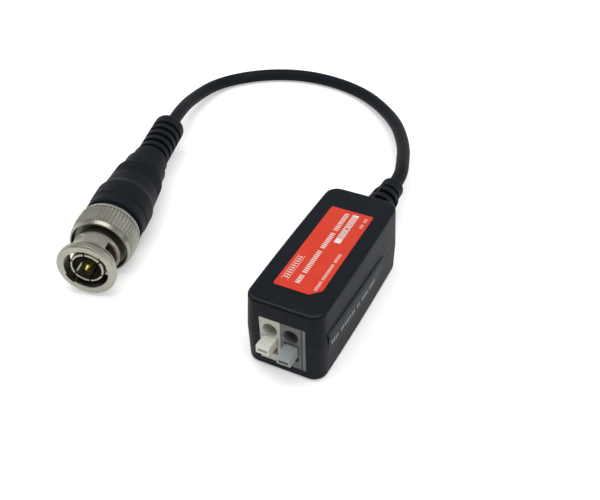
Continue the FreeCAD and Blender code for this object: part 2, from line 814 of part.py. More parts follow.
def circuit_board():
    half_width = BOX_WIDTH / 2 - WALL - TOP_INSET - BOARD_GAP
    half_length = BOX_LENGTH / 2 - WALL - TOP_INSET - BOARD_GAP
    corners = [(-half_width, -half_length), (half_width, -half_length),
               (half_width, half_length), (-half_width, half_length)]
    outline = rounded_wire([V(x, y, BLOCK_TOP) for x, y in corners], [BOARD_CORNER] * 4, True)
    board = Part.Face(outline).extrude(V(0, 0, BOARD_THICKNESS))
    low = BLOCK_TOP - OVERCUT
    high = BOARD_TOP + OVERCUT
    holes = [rod(r + HOLE_GAP, V(x, y, low), V(x, y, high)) for x, y, r in leg_places()]
    for pole in (0, 1):
        x, y = solder_pin_place(pole)
        holes.append(box((x - HOLE_GAP, y - HOLE_GAP, low),
                         (x + BAR_THICKNESS + HOLE_GAP, y + PIN_WIDTH + HOLE_GAP, high)))
    return board.cut(grouped(holes))


def ring_section(gap, rounding):
    """The ring's section, grown by a gap all round."""
    low = RING_TOP - RING_HEIGHT - gap
    high = RING_TOP + gap
    inner = RING_INNER - gap
    outer = RING_OUTER + gap
    corners = [V(inner, 0, low), V(outer, 0, low), V(outer, 0, high), V(inner, 0, high)]
    return Part.Face(rounded_wire(corners, [rounding] * 4, True))


def ferrite_ring():
    ring = ring_section(0, RING_ROUND).revolve(V(0, 0, 0), Z_AXIS, 360)
    ring.translate(V(0, RING_PLACE, 0))
    return ring


def winding(half):
    """Turns of wire on a varnished bed round one half of the ring, with two legs."""
    bed_section = ring_section(TURN_GAP + TURN_BED, RING_ROUND)
    bed_section = bed_section.cut(ring_section(TURN_GAP, RING_ROUND))
    coil = bed_section.revolve(V(0, 0, 0), Z_AXIS, 180 - TURN_STEP)
    coil.rotate(V(0, 0, 0), Z_AXIS, TURN_STEP / 2)
    turn_section = ring_section(TURN_GAP + TURN_WIRE, RING_ROUND)
    turn_section = turn_section.cut(ring_section(TURN_GAP + TURN_BED / 2, RING_ROUND))
    turn_section.translate(V(0, -TURN_WIRE / 2, 0))
    turn = turn_section.extrude(V(0, TURN_WIRE, 0))
    for i in range(TURN_COUNT):
        copy = turn.copy()
        copy.rotate(V(0, 0, 0), Z_AXIS, TURN_STEP * (i + 1))
        coil = coil.fuse(copy)
    coil.rotate(V(0, 0, 0), Z_AXIS, 180 * half)
    coil.translate(V(0, RING_PLACE, 0))
    legs = [
        rod(TURN_WIRE / 2, V(x, y, RING_TOP - RING_HEIGHT), V(x, y, BOARD_TOP + SOLDER_END))
        for x, y in winding_leg_places()[2 * half:2 * half + 2]
    ]
    return coil.fuse(legs)


def bent_legs(length, drop, y):
    """Two legs from the ends of a lying part, bent up through the board."""
    legs = []
    for side in (-1, 1):
        reach = side * (length / 2 + LEG_SPAN / 2)
        height = BLOCK_TOP - drop
        points = [V(side * length / 2, y, height), V(reach, y, height),
                  V(reach, y, BOARD_TOP + SOLDER_END)]
        legs.append(wire_along(points, LEG_BEND, LEG_RADIUS))
    return legs


def lying_part(profile, drop, y):
    shape = turned(profile)
    shape.rotate(V(0, 0, 0), Y_AXIS, 90)
    shape.translate(V(0, y, BLOCK_TOP - drop))
    return shape


def surge_tube():
    """A gas tube between two metal caps."""
    half = TUBE_LENGTH / 2
    cap = TUBE_LENGTH / 5
    drop = TUBE_RADIUS + FIT_GAP
    body = lying_part([
        (0, -half), (TUBE_RADIUS, -half), (TUBE_RADIUS, cap - half), (TUBE_WAIST, cap - half),
        (TUBE_WAIST, half - cap), (TUBE_RADIUS, half - cap), (TUBE_RADIUS, half), (0, half),
    ], drop, TUBE_PLACE)
    return body.fuse(bent_legs(TUBE_LENGTH, drop, TUBE_PLACE))


def resistor():
    half = RESISTOR_LENGTH / 2
    inner = half - RESISTOR_LENGTH / 4
    waist = inner - RESISTOR_SLOPE
    drop = RESISTOR_RADIUS + FIT_GAP
    body = lying_part([
        (0, -half),
        (RESISTOR_RADIUS, -half, RESISTOR_END_ROUND),
        (RESISTOR_RADIUS, -inner, RESISTOR_WAIST_ROUND),
        (RESISTOR_WAIST, -waist, RESISTOR_WAIST_ROUND),
        (RESISTOR_WAIST, waist, RESISTOR_WAIST_ROUND),
        (RESISTOR_RADIUS, inner, RESISTOR_WAIST_ROUND),
        (RESISTOR_RADIUS, half, RESISTOR_END_ROUND),
        (0, half),
    ], drop, RESISTOR_PLACE)
    return body.fuse(bent_legs(RESISTOR_LENGTH, drop, RESISTOR_PLACE))


def capacitor():
    """A dipped disc on two straight legs."""
    height = BLOCK_TOP - CAPACITOR_DROP - CAPACITOR_RADIUS
    half = CAPACITOR_THICKNESS / 2
    disc = turned([(0, -half), (CAPACITOR_RADIUS, -half, half / 2),
                   (CAPACITOR_RADIUS, half, half / 2), (0, half)])
    disc.rotate(V(0, 0, 0), X_AXIS, 90)
    disc.translate(V(0, CAPACITOR_PLACE, height))
    legs = [
        rod(LEG_RADIUS, V(side * LEG_SPAN, CAPACITOR_PLACE, height),
            V(side * LEG_SPAN, CAPACITOR_PLACE, BOARD_TOP + SOLDER_END))
        for side in (-1, 1)
    ]
    return disc.fuse(legs)


# Lead and box boot


def cable_tail(side, radius):
    """A stripped end of the lead, bent up into the board."""
    x = side * TAIL_ACROSS
    points = [V(x, JACKET_END, BOOT_HEIGHT), V(x, TAIL_PLACE, BOOT_HEIGHT),
              V(x, TAIL_PLACE, BOARD_TOP + SOLDER_END)]
    return wire_along(points, TAIL_BEND, radius)


def cable_in_boot():
    return rod(CABLE_RADIUS, V(0, JACKET_END, BOOT_HEIGHT), V(0, BOOT_END, BOOT_HEIGHT))


def ring_groove(centre, width, outer, floor):
    return tube(outer + OVERCUT, floor, centre - width / 2, centre + width / 2)


def box_boot():
    """The strain relief: inner flange, neck in the wall, and a ribbed taper."""
    outer_face = BOX_LENGTH / 2
    taper_end = BOOT_END - BOOT_END_RIB
    form = turned([
        (0, FLANGE_FRONT),
        (BOOT_FLANGE, FLANGE_FRONT),
        (BOOT_FLANGE, INNER_REAR),
        (BOOT_NECK, INNER_REAR),
        (BOOT_NECK, outer_face),
        (BOOT_ROOT, outer_face),
        (BOOT_SLIM, taper_end),
        (BOOT_TIP, taper_end),
        (BOOT_TIP, BOOT_END, BOOT_END_ROUND),
        (0, BOOT_END),
    ])
    reach = BOOT_ROOT + 2 * OVERCUT
    web = box((-BOOT_WEB / 2, -reach, outer_face), (BOOT_WEB / 2, reach, BOOT_END))
    web.rotate(V(0, 0, 0), Z_AXIS, BOOT_WEB_TURN)
    cutters = []
    for i in range(BOOT_GROOVES):
        centre = taper_end - BOOT_GROOVE / 2 - i * BOOT_PITCH
        share = (centre - outer_face) / (taper_end - outer_face)
        floor = BOOT_CORE_ROOT + (BOOT_CORE_TIP - BOOT_CORE_ROOT) * share
        cutters.append(ring_groove(centre, BOOT_GROOVE, BOOT_ROOT, floor).cut(web))
    cutters.append(rod(CABLE_RADIUS + FIT_GAP, V(0, 0, FLANGE_FRONT - OVERCUT),
                       V(0, 0, BOOT_END + OVERCUT)))
    boot = carved(form, cutters)
    boot.rotate(V(0, 0, 0), X_AXIS, -90)
    boot.translate(V(0, 0, BOOT_HEIGHT))
    return boot


def cable():
    """The free stretch of the lead, laid on straight runs and tangent arcs."""
    points = [V(*place) for place in ROUTE]
    radii = [0.0]
    for i in range(1, len(points) - 1):
        before = points[i] - points[i - 1]
        after = points[i + 1] - points[i]
        turn = before.getAngle(after)
        radii.append(RUN_SHARE * min(before.Length, after.Length) / math.tan(turn / 2))
    radii.append(0.0)
    path = rounded_wire(points, radii, False)
    ring = Part.Wire(Part.makeCircle(CABLE_RADIUS, points[0], points[1] - points[0]))
    lead = path.makePipeShell([ring], True, False)
    section = math.pi * CABLE_RADIUS ** 2
    print("cable radii", [round(radius, 1) for radius in radii[1:-1]])
    print("cable length", round(path.Length, 2), "volume over section times length",
          round(lead.Volume / (section * path.Length), 5))
    return lead


# Plug


def plug_placement():
    """The plug's own frame: Z runs back along it, and X lies level."""
    end = V(*ROUTE[-1])
    back = (V(*ROUTE[-2]) - end).normalize()
    back.z = 0
    back.normalize()
    across = V(back.y, -back.x, 0)
    down = back.cross(across)
    turn = FreeCAD.Rotation(across, down, back, "ZXY")
    return FreeCAD.Placement(end - back * PLUG_LENGTH, turn)


def placed(shape):
    shape = shape.copy()
    shape.Placement = plug_placement()
    return shape


def around(radius, angle, depth):
    """A place on the plug: angle from its top, towards its right in front view."""
    turn = math.radians(angle)
    return V(radius * math.sin(turn), -radius * math.cos(turn), depth)


def bayonet_cutter(first_angle):
    """One ramp slot through the neck, square at its start and round at its end."""
    sweep = BAYONET_END - BAYONET_START
    half = BAYONET_WIDTH / 2
    rise_per_turn = BAYONET_RISE * 360 / sweep
    path = Part.makeHelix(rise_per_turn, BAYONET_RISE, NUT_NECK)
    low = NUT_REAR_BORE - BAYONET_OVERCUT
    high = NUT_NECK + BAYONET_OVERCUT
    section = sharp_wire([V(low, 0, -half), V(high, 0, -half), V(high, 0, half), V(low, 0, half)])
    ramp = path.makePipeShell([section], True, True)
    ramp.rotate(V(0, 0, 0), Z_AXIS, first_angle - 90)
    ramp.translate(V(0, 0, BAYONET_DEPTH_START))
    end_depth = BAYONET_DEPTH_START + BAYONET_RISE
    last = first_angle + sweep
    detent = rod(half, around(low, last, end_depth), around(high, last, end_depth))
    opening = math.degrees(half / NUT_NECK)
    side = CHANNEL_WIDTH / 2
    channel = box((-side, -CHANNEL_RADIUS, -OVERCUT), (side, 0, BAYONET_DEPTH_START + half / 2))
    channel = channel.common(rod(CHANNEL_RADIUS, V(0, 0, -OVERCUT), V(0, 0, NUT_SHOULDER)))
    channel.rotate(V(0, 0, 0), Z_AXIS, first_angle + opening)
    return [ramp, detent, channel]


def star_wire(radius, depth):
    points = []
    for i in range(2 * KNURL_COUNT):
        reach = radius + KNURL_CREST if i % 2 == 0 else radius - KNURL_DEPTH
        angle = math.pi * i / KNURL_COUNT
        points.append(V(reach * math.cos(angle), reach * math.sin(angle), depth))
    return sharp_wire(points)


def knurl_cutter():
    """What is left outside star-shaped sections that follow the band's crown."""
    sections = [
        star_wire(NUT_BAND_FRONT, NUT_KNURL_START),
        star_wire(NUT_BAND, NUT_CROWN),
        star_wire(NUT_BAND_REAR, NUT_KNURL_END),
    ]
    star = Part.makeLoft(sections, True, True)
    return tube(NUT_BAND + OVERCUT, NUT_NECK, NUT_KNURL_START, NUT_KNURL_END).cut(star)


def coupling_nut():
    """The bayonet nut: flange, slotted neck, dished and crowned knurled band."""
    groove_start = ring_groove_start()
    groove_end = groove_start + RING_GROOVE_LENGTH
    form = turned([
        (NUT_BORE + NUT_BORE_CHAMFER, 0),
        (NUT_FLANGE - NUT_FLANGE_CHAMFER, 0),
        (NUT_FLANGE, NUT_FLANGE_CHAMFER),
        (NUT_FLANGE, NUT_FLANGE_LENGTH, NUT_EDGE_ROUND),
        (NUT_NECK, NUT_FLARE_END, NUT_FLARE_ROUND),
        (NUT_NECK, NUT_NECK_END),
        (NUT_UNDERCUT, NUT_NECK_END),
        (NUT_UNDERCUT, NUT_DISH),
        (NUT_DISH_RADIUS, NUT_DISH),
        (NUT_RIM_INNER, NUT_RIM),
        (NUT_RIM_OUTER, NUT_RIM),
        (NUT_BAND_FRONT, NUT_KNURL_START),
        (NUT_BAND, NUT_CROWN, NUT_CROWN_ROUND),
        (NUT_BAND_REAR, NUT_KNURL_END),
        (NUT_TAIL, NUT_LENGTH, NUT_EDGE_ROUND),
        (NUT_CAVITY, NUT_LENGTH),
        (NUT_CAVITY, groove_end),
        (RING_GROOVE, groove_end),
        (RING_GROOVE, groove_start),
        (NUT_CAVITY, groove_start),
        (NUT_CAVITY, NUT_SHOULDER),
        (NUT_REAR_BORE, NUT_SHOULDER),
        (NUT_REAR_BORE, NUT_BORE_END),
        (NUT_BORE, NUT_BORE_END),
        (NUT_BORE, NUT_BORE_CHAMFER),
    ])
    cutters = [knurl_cutter()]
    for first in (BAYONET_START, BAYONET_START + 180):
        cutters += bayonet_cutter(first)
    return placed(carved(form, cutters))


def collar_start():
    return NUT_SHOULDER + FIT_GAP


def wave_start():
    return collar_start() + COLLAR_LENGTH + FIT_GAP


def washer_start():
    return wave_start() + WAVE_LENGTH + FIT_GAP


def ring_groove_start():
    return washer_start() + WASHER_LENGTH


def plug_body():
    """The turned body: six-fingered contact sleeve, collar, barrel and crimp shank."""
    collar_end = collar_start() + COLLAR_LENGTH
    gasket_end = GASKET_FRONT + GASKET_LENGTH
    form = turned([
        (SLEEVE_INNER, SLEEVE_FRONT),
        (SLEEVE_RADIUS - SLEEVE_CHAMFER, SLEEVE_FRONT),
        (SLEEVE_RADIUS, SLEEVE_FRONT + SLEEVE_CHAMFER),
        (SLEEVE_RADIUS, GASKET_FRONT),
        (SLEEVE_SEAT, GASKET_FRONT),
        (SLEEVE_SEAT, gasket_end),
        (BARREL_RADIUS, gasket_end),
        (BARREL_RADIUS, collar_start()),
        (COLLAR_RADIUS, collar_start()),
        (COLLAR_RADIUS, collar_end),
        (REAR_BARREL, collar_end),
        (REAR_BARREL, BODY_SHOULDER),
        (SHANK_RADIUS, BODY_SHOULDER),
        (SHANK_RADIUS, SHANK_END),
        (CORE_BORE, SHANK_END),
        (CORE_BORE, INSULATOR_END),
        (SLEEVE_INNER, INSULATOR_END),
    ])
    slots = []
    for i in range(SLEEVE_SLOTS // 2):
        cutter = box((-SLEEVE_SLOT / 2, -SLEEVE_RADIUS - OVERCUT, SLEEVE_FRONT - OVERCUT),
                     (SLEEVE_SLOT / 2, SLEEVE_RADIUS + OVERCUT, SLEEVE_FRONT + SLEEVE_SLOT_LENGTH))
        cutter.rotate(V(0, 0, 0), Z_AXIS, SLEEVE_SLOT_PHASE + i * 360 / SLEEVE_SLOTS)
        slots.append(cutter)
    return placed(carved(form, slots))


def gasket():
    return placed(turned([
        (SLEEVE_SEAT + FIT_GAP, GASKET_FRONT),
        (GASKET_RADIUS, GASKET_FRONT, GASKET_ROUND),
        (GASKET_RADIUS, GASKET_FRONT + GASKET_LENGTH, GASKET_ROUND),
        (SLEEVE_SEAT + FIT_GAP, GASKET_FRONT + GASKET_LENGTH),
    ]))


def insulator():
    return placed(tube(SLEEVE_INNER - FIT_GAP, CENTRE_PIN_REAR + FIT_GAP,
                       INSULATOR_FRONT, INSULATOR_END))


def centre_pin():
    """The gold pin: pointed front, thicker shaft, and a collar behind the insulator."""
    collar_rear = INSULATOR_END + CENTRE_PIN_COLLAR_LENGTH
    return placed(turned([
        (0, CENTRE_PIN_FRONT),
        (CENTRE_PIN_POINT, CENTRE_PIN_FRONT),
        (CENTRE_PIN, CENTRE_PIN_FRONT + CENTRE_PIN_TIP),
        (CENTRE_PIN, CENTRE_PIN_STEP),
        (CENTRE_PIN_REAR, CENTRE_PIN_STEP),
        (CENTRE_PIN_REAR, INSULATOR_END),
        (CENTRE_PIN_COLLAR, INSULATOR_END),
        (CENTRE_PIN_COLLAR, collar_rear),
        (CENTRE_PIN_REAR, collar_rear),
        (CENTRE_PIN_REAR, CENTRE_PIN_END),
        (0, CENTRE_PIN_END),
    ]))


def wave_edge(radius):
    """A closed curve that waves along the plug's axis."""
    stretch = (WAVE_LENGTH - WAVE_SHEET) / 2
    middle = wave_start() + stretch
    points = []
    for i in range(WAVE_POINTS):
        angle = 360 * i / WAVE_POINTS
        depth = middle + stretch * math.sin(math.radians(angle * WAVE_COUNT))
        points.append(around(radius, angle, depth))
    curve = Part.BSplineCurve()
    curve.interpolate(points, PeriodicFlag=True)
    return curve.toShape()


def wave_washer():
    """A spring washer of sheet metal, between the body's collar and the thrust washer."""
    sheet = Part.makeRuledSurface(wave_edge(WAVE_INNER), wave_edge(WAVE_OUTER))
    return placed(sheet.extrude(V(0, 0, WAVE_SHEET)))


def thrust_washer():
    start = washer_start()
    return placed(tube(WASHER_OUTER, REAR_BARREL + FIT_GAP, start, start + WASHER_LENGTH))


def retaining_ring():
    """A split ring sprung into the nut's rear groove."""
    start = ring_groove_start() + (RING_GROOVE_LENGTH - RETAINER_LENGTH) / 2
    ring = tube(RING_GROOVE - FIT_GAP, RETAINER_INNER, start, start + RETAINER_LENGTH)
    split = box((-RETAINER_SPLIT / 2, 0, start - OVERCUT),
                (RETAINER_SPLIT / 2, RING_GROOVE + OVERCUT, start + RETAINER_LENGTH + OVERCUT))
    return placed(ring.cut(split))


def crimp_ferrule():
    inner = SHANK_RADIUS + FIT_GAP
    return placed(tube(inner + FERRULE_WALL, inner, BODY_SHOULDER, FERRULE_END))


def cable_in_plug():
    """The lead's end: jacket up to the ferrule, bare core up to the centre pin."""
    return placed(turned([
        (0, CENTRE_PIN_END),
        (CORE_IN_PLUG, CENTRE_PIN_END),
        (CORE_IN_PLUG, FERRULE_END),
        (CABLE_RADIUS, FERRULE_END),
        (CABLE_RADIUS, PLUG_LENGTH),
        (0, PLUG_LENGTH),
    ]))


def plug_boot():
    """The moulded grip: collar, ridged body, shoulder, step and ribbed strain relief."""
    ferrule = SHANK_RADIUS + FIT_GAP + FERRULE_WALL + FIT_GAP
    collar_front = GRIP_START + GRIP_NECK_LENGTH
    waist_end = GRIP_BODY_END + WAIST_LENGTH
    step_front = SHOULDER_END + STEP_GAP
    step_rear = RELIEF_FIRST - RELIEF_GROOVE / 2
    profile = [
        (REAR_BARREL + FIT_GAP, GRIP_START),
        (GRIP_NECK, GRIP_START),
        (GRIP_NECK, collar_front),
        (GRIP_COLLAR, collar_front, GRIP_COLLAR_ROUND),
        (GRIP_COLLAR, GRIP_STEP),
        (GRIP_SWELL, GRIP_STEP + GRIP_STEP_LENGTH),
        (GRIP_SWELL, GRIP_SWELL_END, GRIP_SWELL_ROUND),
        (GRIP_BODY_FRONT, GRIP_BODY_START, GRIP_SWELL_ROUND),
    ]
    ridges_start = GRIP_BODY_END - FINE_TO_END - FINE_RIDGES * FINE_PITCH
    slope = (GRIP_BODY_REAR - GRIP_BODY_FRONT) / (GRIP_BODY_END - GRIP_BODY_START)
    for i in range(FINE_RIDGES):
        start = ridges_start + i * FINE_PITCH
        radius = GRIP_BODY_FRONT + slope * (start - GRIP_BODY_START)
        profile += [
            (radius, start),
            (radius - FINE_DEPTH, start + FINE_SLOPE),
            (radius - FINE_DEPTH, start + FINE_PITCH / 2),
            (radius, start + FINE_PITCH / 2 + FINE_SLOPE),
        ]
    profile += [
        (GRIP_BODY_REAR, GRIP_BODY_END, GRIP_BODY_ROUND),
        (WAIST_RADIUS, GRIP_BODY_END),
        (WAIST_RADIUS, waist_end),
        (SHOULDER_RADIUS, waist_end, SHOULDER_ROUND),
        (SHOULDER_REAR, SHOULDER_END, SHOULDER_ROUND),
        (RELIEF_RADIUS, SHOULDER_END),
        (RELIEF_RADIUS, step_front),
        (STEP_RADIUS, step_front, STEP_ROUND),
        (STEP_RADIUS, step_rear, STEP_ROUND),
        (RELIEF_RADIUS, step_rear),
        (RELIEF_RADIUS, PLUG_LENGTH, RELIEF_ROUND),
        (CABLE_RADIUS + FIT_GAP, PLUG_LENGTH),
        (CABLE_RADIUS + FIT_GAP, FERRULE_END),
        (ferrule, FERRULE_END),
        (ferrule, BODY_SHOULDER),
        (REAR_BARREL + FIT_GAP, BODY_SHOULDER),
    ]
    grooves = [
        ring_groove(RELIEF_FIRST + i * RELIEF_PITCH, RELIEF_GROOVE, RELIEF_RADIUS, RELIEF_CORE)
        for i in range(RELIEF_GROOVES)
    ]
    return placed(carved(turned(profile), grooves))


NODES = {
    "upper_shell": upper_shell,
    "lower_shell": lower_shell,
    "top_label": top_label,
    "pole_body_left": lambda: pole_body(0),
    "pole_body_right": lambda: pole_body(1),
    "terminal_end_plate": end_plate,
    "lever_left": lambda: lever(0),
    "lever_right": lambda: lever(1),
    "contact_bar_left": lambda: contact_bar(0),
    "contact_bar_right": lambda: contact_bar(1),
    "clamp_spring_left": lambda: clamp_spring(0),
    "clamp_spring_right": lambda: clamp_spring(1),
    "circuit_board": circuit_board,
    "ferrite_ring": ferrite_ring,
    "winding_line_side": lambda: winding(0),
    "winding_video_side": lambda: winding(1),
    "surge_tube": surge_tube,
    "resistor": resistor,
    "capacitor": capacitor,
    "cable_core_tail": lambda: cable_tail(-1, CORE_RADIUS),
    "cable_braid_tail": lambda: cable_tail(1, BRAID_RADIUS),
    "cable_in_box_boot": cable_in_boot,
    "box_boot": box_boot,
    "cable": cable,
    "cable_in_plug_boot": cable_in_plug,
    "plug_boot": plug_boot,
    "crimp_ferrule": crimp_ferrule,
    "plug_body": plug_body,
    "insulator": insulator,
    "centre_pin": centre_pin,
    "gasket": gasket,
    "wave_washer": wave_washer,
    "thrust_washer": thrust_washer,
    "retaining_ring": retaining_ring,
    "coupling_nut": coupling_nut,
}

os.makedirs("parts", exist_ok=True)
for name, make in NODES.items():
    shape = make()
    shape.exportStep("parts/" + name + ".step")
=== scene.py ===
import math

import bmesh
import bpy
from mathutils import Matrix, Vector


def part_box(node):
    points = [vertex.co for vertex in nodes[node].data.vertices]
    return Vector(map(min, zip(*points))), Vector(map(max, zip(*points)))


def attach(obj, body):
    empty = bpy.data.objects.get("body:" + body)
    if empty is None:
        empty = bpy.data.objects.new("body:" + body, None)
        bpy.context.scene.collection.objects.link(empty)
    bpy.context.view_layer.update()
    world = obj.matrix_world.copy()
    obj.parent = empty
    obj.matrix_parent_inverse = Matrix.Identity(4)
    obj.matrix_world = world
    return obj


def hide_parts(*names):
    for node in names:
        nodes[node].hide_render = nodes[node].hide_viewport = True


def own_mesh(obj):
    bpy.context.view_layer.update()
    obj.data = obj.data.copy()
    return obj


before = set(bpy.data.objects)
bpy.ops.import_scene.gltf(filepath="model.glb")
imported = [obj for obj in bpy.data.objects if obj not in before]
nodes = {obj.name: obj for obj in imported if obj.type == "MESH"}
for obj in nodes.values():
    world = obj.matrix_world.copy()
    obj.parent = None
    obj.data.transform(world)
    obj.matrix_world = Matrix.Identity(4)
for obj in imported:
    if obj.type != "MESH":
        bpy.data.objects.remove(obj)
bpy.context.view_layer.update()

scene = bpy.context.scene
MM = 0.001

# Camera.
# A product camera that looks down on the box from the front right, at the
# photograph's distance, turn and tilt.
camera_turn = math.radians(27.316)
camera_rise = math.radians(39.663)
camera_roll = math.radians(-1.452)
camera_target = Vector((-14.564, 16.018, 0.0)) * MM
camera_distance = 201.582 * MM
camera_focus = 813.83
photo_width = 600.0
sensor_width = 36.0

camera_back = Vector((math.sin(camera_turn) * math.cos(camera_rise),
                      -math.cos(camera_turn) * math.cos(camera_rise),
                      math.sin(camera_rise)))
level_right = Vector((math.cos(camera_turn), math.sin(camera_turn), 0.0))
upright = camera_back.cross(level_right)
camera_right = level_right * math.cos(camera_roll) + upright * math.sin(camera_roll)
camera_up = upright * math.cos(camera_roll) - level_right * math.sin(camera_roll)
camera_turned = Matrix((camera_right, camera_up, camera_back)).transposed()
camera_data = bpy.data.cameras.new("camera")
camera_data.sensor_width = sensor_width
camera_data.lens = camera_focus * sensor_width / photo_width
camera_data.clip_start = 5 * MM
camera = bpy.data.objects.new("camera", camera_data)
scene.collection.objects.link(camera)
camera.matrix_world = (Matrix.Translation(camera_target + camera_back * camera_distance)
                       @ camera_turned.to_4x4())
scene.camera = camera

# Coaxial lead.
# A thin round cable in satin black vinyl, moulded into the box's boot at one
# end and into the plug's boot at the other, lying in one loose arch.
cable_route = [
    (0.0, 41.0, 7.6),
    (0.0, 46.0, 7.6),
    (-1.8, 52.3, 7.1),
    (-5.8, 64.1, 5.3),
    (-14.5, 79.5, 3.2),
    (-30.4, 93.1, 1.9),
    (-48.7, 96.2, 1.9),
    (-63.9, 91.2, 1.9),
    (-75.3, 79.3, 2.1),
    (-74.8, 62.2, 4.7),
    (-70.6, 48.54, 7.8),
    (-68.6, 41.5, 7.8),
]
cable_radius = 1.8 * MM
route = [Vector(point) * MM for point in cable_route]


def linear(hex_colour):
    """A #rrggbb colour in Blender's linear values."""
    levels = [int(hex_colour[i:i + 2], 16) / 255 for i in (1, 3, 5)]
    scaled = [level / 12.92 if level <= 0.04045 else ((level + 0.055) / 1.055) ** 2.4
              for level in levels]
    return (*scaled, 1.0)


def add(tree, kind, inputs=None, **settings):
    """Adds a shader node with its settings, and fills or links its inputs."""
    made = tree.nodes.new(kind)
    for name, value in settings.items():
        setattr(made, name, value)
    for name, value in (inputs or {}).items():
        if isinstance(value, bpy.types.NodeSocket):
            tree.links.new(value, made.inputs[name])
        else:
            made.inputs[name].default_value = value
    return made


def ramp(tree, value, stops):
    """Maps a value to colours through (position, colour) stops."""
    made = add(tree, "ShaderNodeValToRGB", {"Fac": value})
    while len(made.color_ramp.elements) < len(stops):
        made.color_ramp.elements.new(0.5)
    for element, (position, shade) in zip(made.color_ramp.elements, stops):
        element.position = position
        element.color = shade
    return made.outputs["Color"]


def grey(level):
    """A grey of one linear level."""
    return (level, level, level, 1.0)


def new_material(name):
    """An empty material with its shader, and the coordinates that patterns read."""
    made = bpy.data.materials.new(name)
    made.use_nodes = True
    tree = made.node_tree
    shader = tree.nodes["Principled BSDF"]
    place = add(tree, "ShaderNodeTexCoord").outputs["Object"]
    return made, tree, shader, place


def dress(material, *names):
    """Gives CAD nodes one material."""
    for name in names:
        mesh = nodes[name].data
        mesh.materials.clear()
        mesh.materials.append(material)


# Plasticised PVC, extruded: nearly black and satin, with a faint mottle where
# the talc shows. The skin's own grain is finer than the 0.35 mm drawn here.
jacket_vinyl, tree, shader, place = new_material("extruded_pvc_jacket")
mottle = add(tree, "ShaderNodeTexNoise", {"Vector": place, "Scale": 1 / (1.4 * MM), "Detail": 4.0})
tint = ramp(tree, mottle.outputs["Fac"], [(0.3, linear("#10151b")), (0.7, linear("#151a21"))])
tree.links.new(tint, shader.inputs["Base Color"])
sheen = ramp(tree, mottle.outputs["Fac"], [(0.25, grey(0.5)), (0.75, grey(0.6))])
tree.links.new(sheen, shader.inputs["Roughness"])
grain = add(tree, "ShaderNodeTexNoise", {"Vector": place, "Scale": 1 / (0.35 * MM), "Detail": 2.0})
skin = add(tree, "ShaderNodeBump", {"Height": grain.outputs["Fac"], "Strength": 0.12,
                                    "Distance": 0.05 * MM})
tree.links.new(skin.outputs["Normal"], shader.inputs["Normal"])
shader.inputs["Specular IOR Level"].default_value = 0.1

cable_line = bpy.data.curves.new("cable_jacket", "CURVE")
cable_line.dimensions = "3D"
cable_line.resolution_u = 16
cable_line.bevel_depth = cable_radius
cable_line.bevel_resolution = 8
cable_line.use_fill_caps = True
spline = cable_line.splines.new("NURBS")
spline.points.add(len(route) - 1)
for point, place_on_route in zip(spline.points, route):
    point.co = (*place_on_route, 1.0)
spline.order_u = 3
spline.use_endpoint_u = True
cable_line.materials.append(jacket_vinyl)
cable = bpy.data.objects.new("cable_jacket", cable_line)
scene.collection.objects.link(cable)
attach(cable, "box_and_lead")
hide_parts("cable")
dress(jacket_vinyl, "cable_in_box_boot", "cable_in_plug_boot")

# Box shells.
# Two halves in black ABS, injection moulded with a fine spark-eroded grain,
# snapped together at a seam that slopes down towards the lead.
lid_edge_height = 15 * MM
level_from = 0.8
forward_from = -0.2

# ABS from a spark-eroded mould: matt charcoal, with a painted highlight on the lid's edges and
# another along its front rounding, painted shade under that rounding, and painted light on the grip
# pads' ledges. The grain is really about 0.1 mm, and is drawn at 0.3 mm, which is as fine as shows.
moulded_abs, tree, shader, place = new_material("moulded_abs")
cloud = add(tree, "ShaderNodeTexNoise", {"Vector": place, "Scale": 1 / (9 * MM), "Detail": 5.0,
                                         "Roughness": 0.6})
tint = ramp(tree, cloud.outputs["Fac"], [(0.3, linear("#0f141b")), (0.7, linear("#141920"))])
facing = add(tree, "ShaderNodeNewGeometry").outputs["Normal"]
turned = add(tree, "ShaderNodeSeparateXYZ", {"Vector": facing})
upward = turned.outputs["Z"]
forward = turned.outputs["Y"]

# Painted highlight on the lid's sharp edges.
rounded_edge = add(tree, "ShaderNodeBevel", {"Radius": 0.35 * MM}, samples=6)
bend = add(tree, "ShaderNodeVectorMath", {0: facing, 1: rounded_edge.outputs["Normal"]},
           operation="DOT_PRODUCT")
edge_highlight_mask = ramp(tree, bend.outputs["Value"], [(0.82, grey(1.0)), (0.985, grey(0.0))])
height = add(tree, "ShaderNodeSeparateXYZ", {"Vector": place}).outputs["Z"]
on_lid = add(tree, "ShaderNodeMath", {0: height, 1: lid_edge_height}, operation="GREATER_THAN")
painted_edge_highlight = add(tree, "ShaderNodeMath", {0: edge_highlight_mask, 1: on_lid.outputs["Value"]}, operation="MULTIPLY")
with_edge_highlight = add(tree, "ShaderNodeMixRGB", {"Fac": painted_edge_highlight.outputs["Value"], "Color1": tint,
                                       "Color2": linear("#454c54")})

# Level faces below the lid, the grip pads' upper ledges, get painted light that lifts their shade.
level_face = add(tree, "ShaderNodeMath", {0: upward, 1: level_from}, operation="GREATER_THAN")
ledge_light_mask = add(tree, "ShaderNodeMath", {0: level_face.outputs["Value"],
                                     1: on_lid.outputs["Value"]}, operation="SUBTRACT")
with_ledge_light = add(tree, "ShaderNodeMixRGB", {"Fac": ledge_light_mask.outputs["Value"],
                                        "Color1": with_edge_highlight.outputs["Color"],
                                        "Color2": linear("#4c5156")})
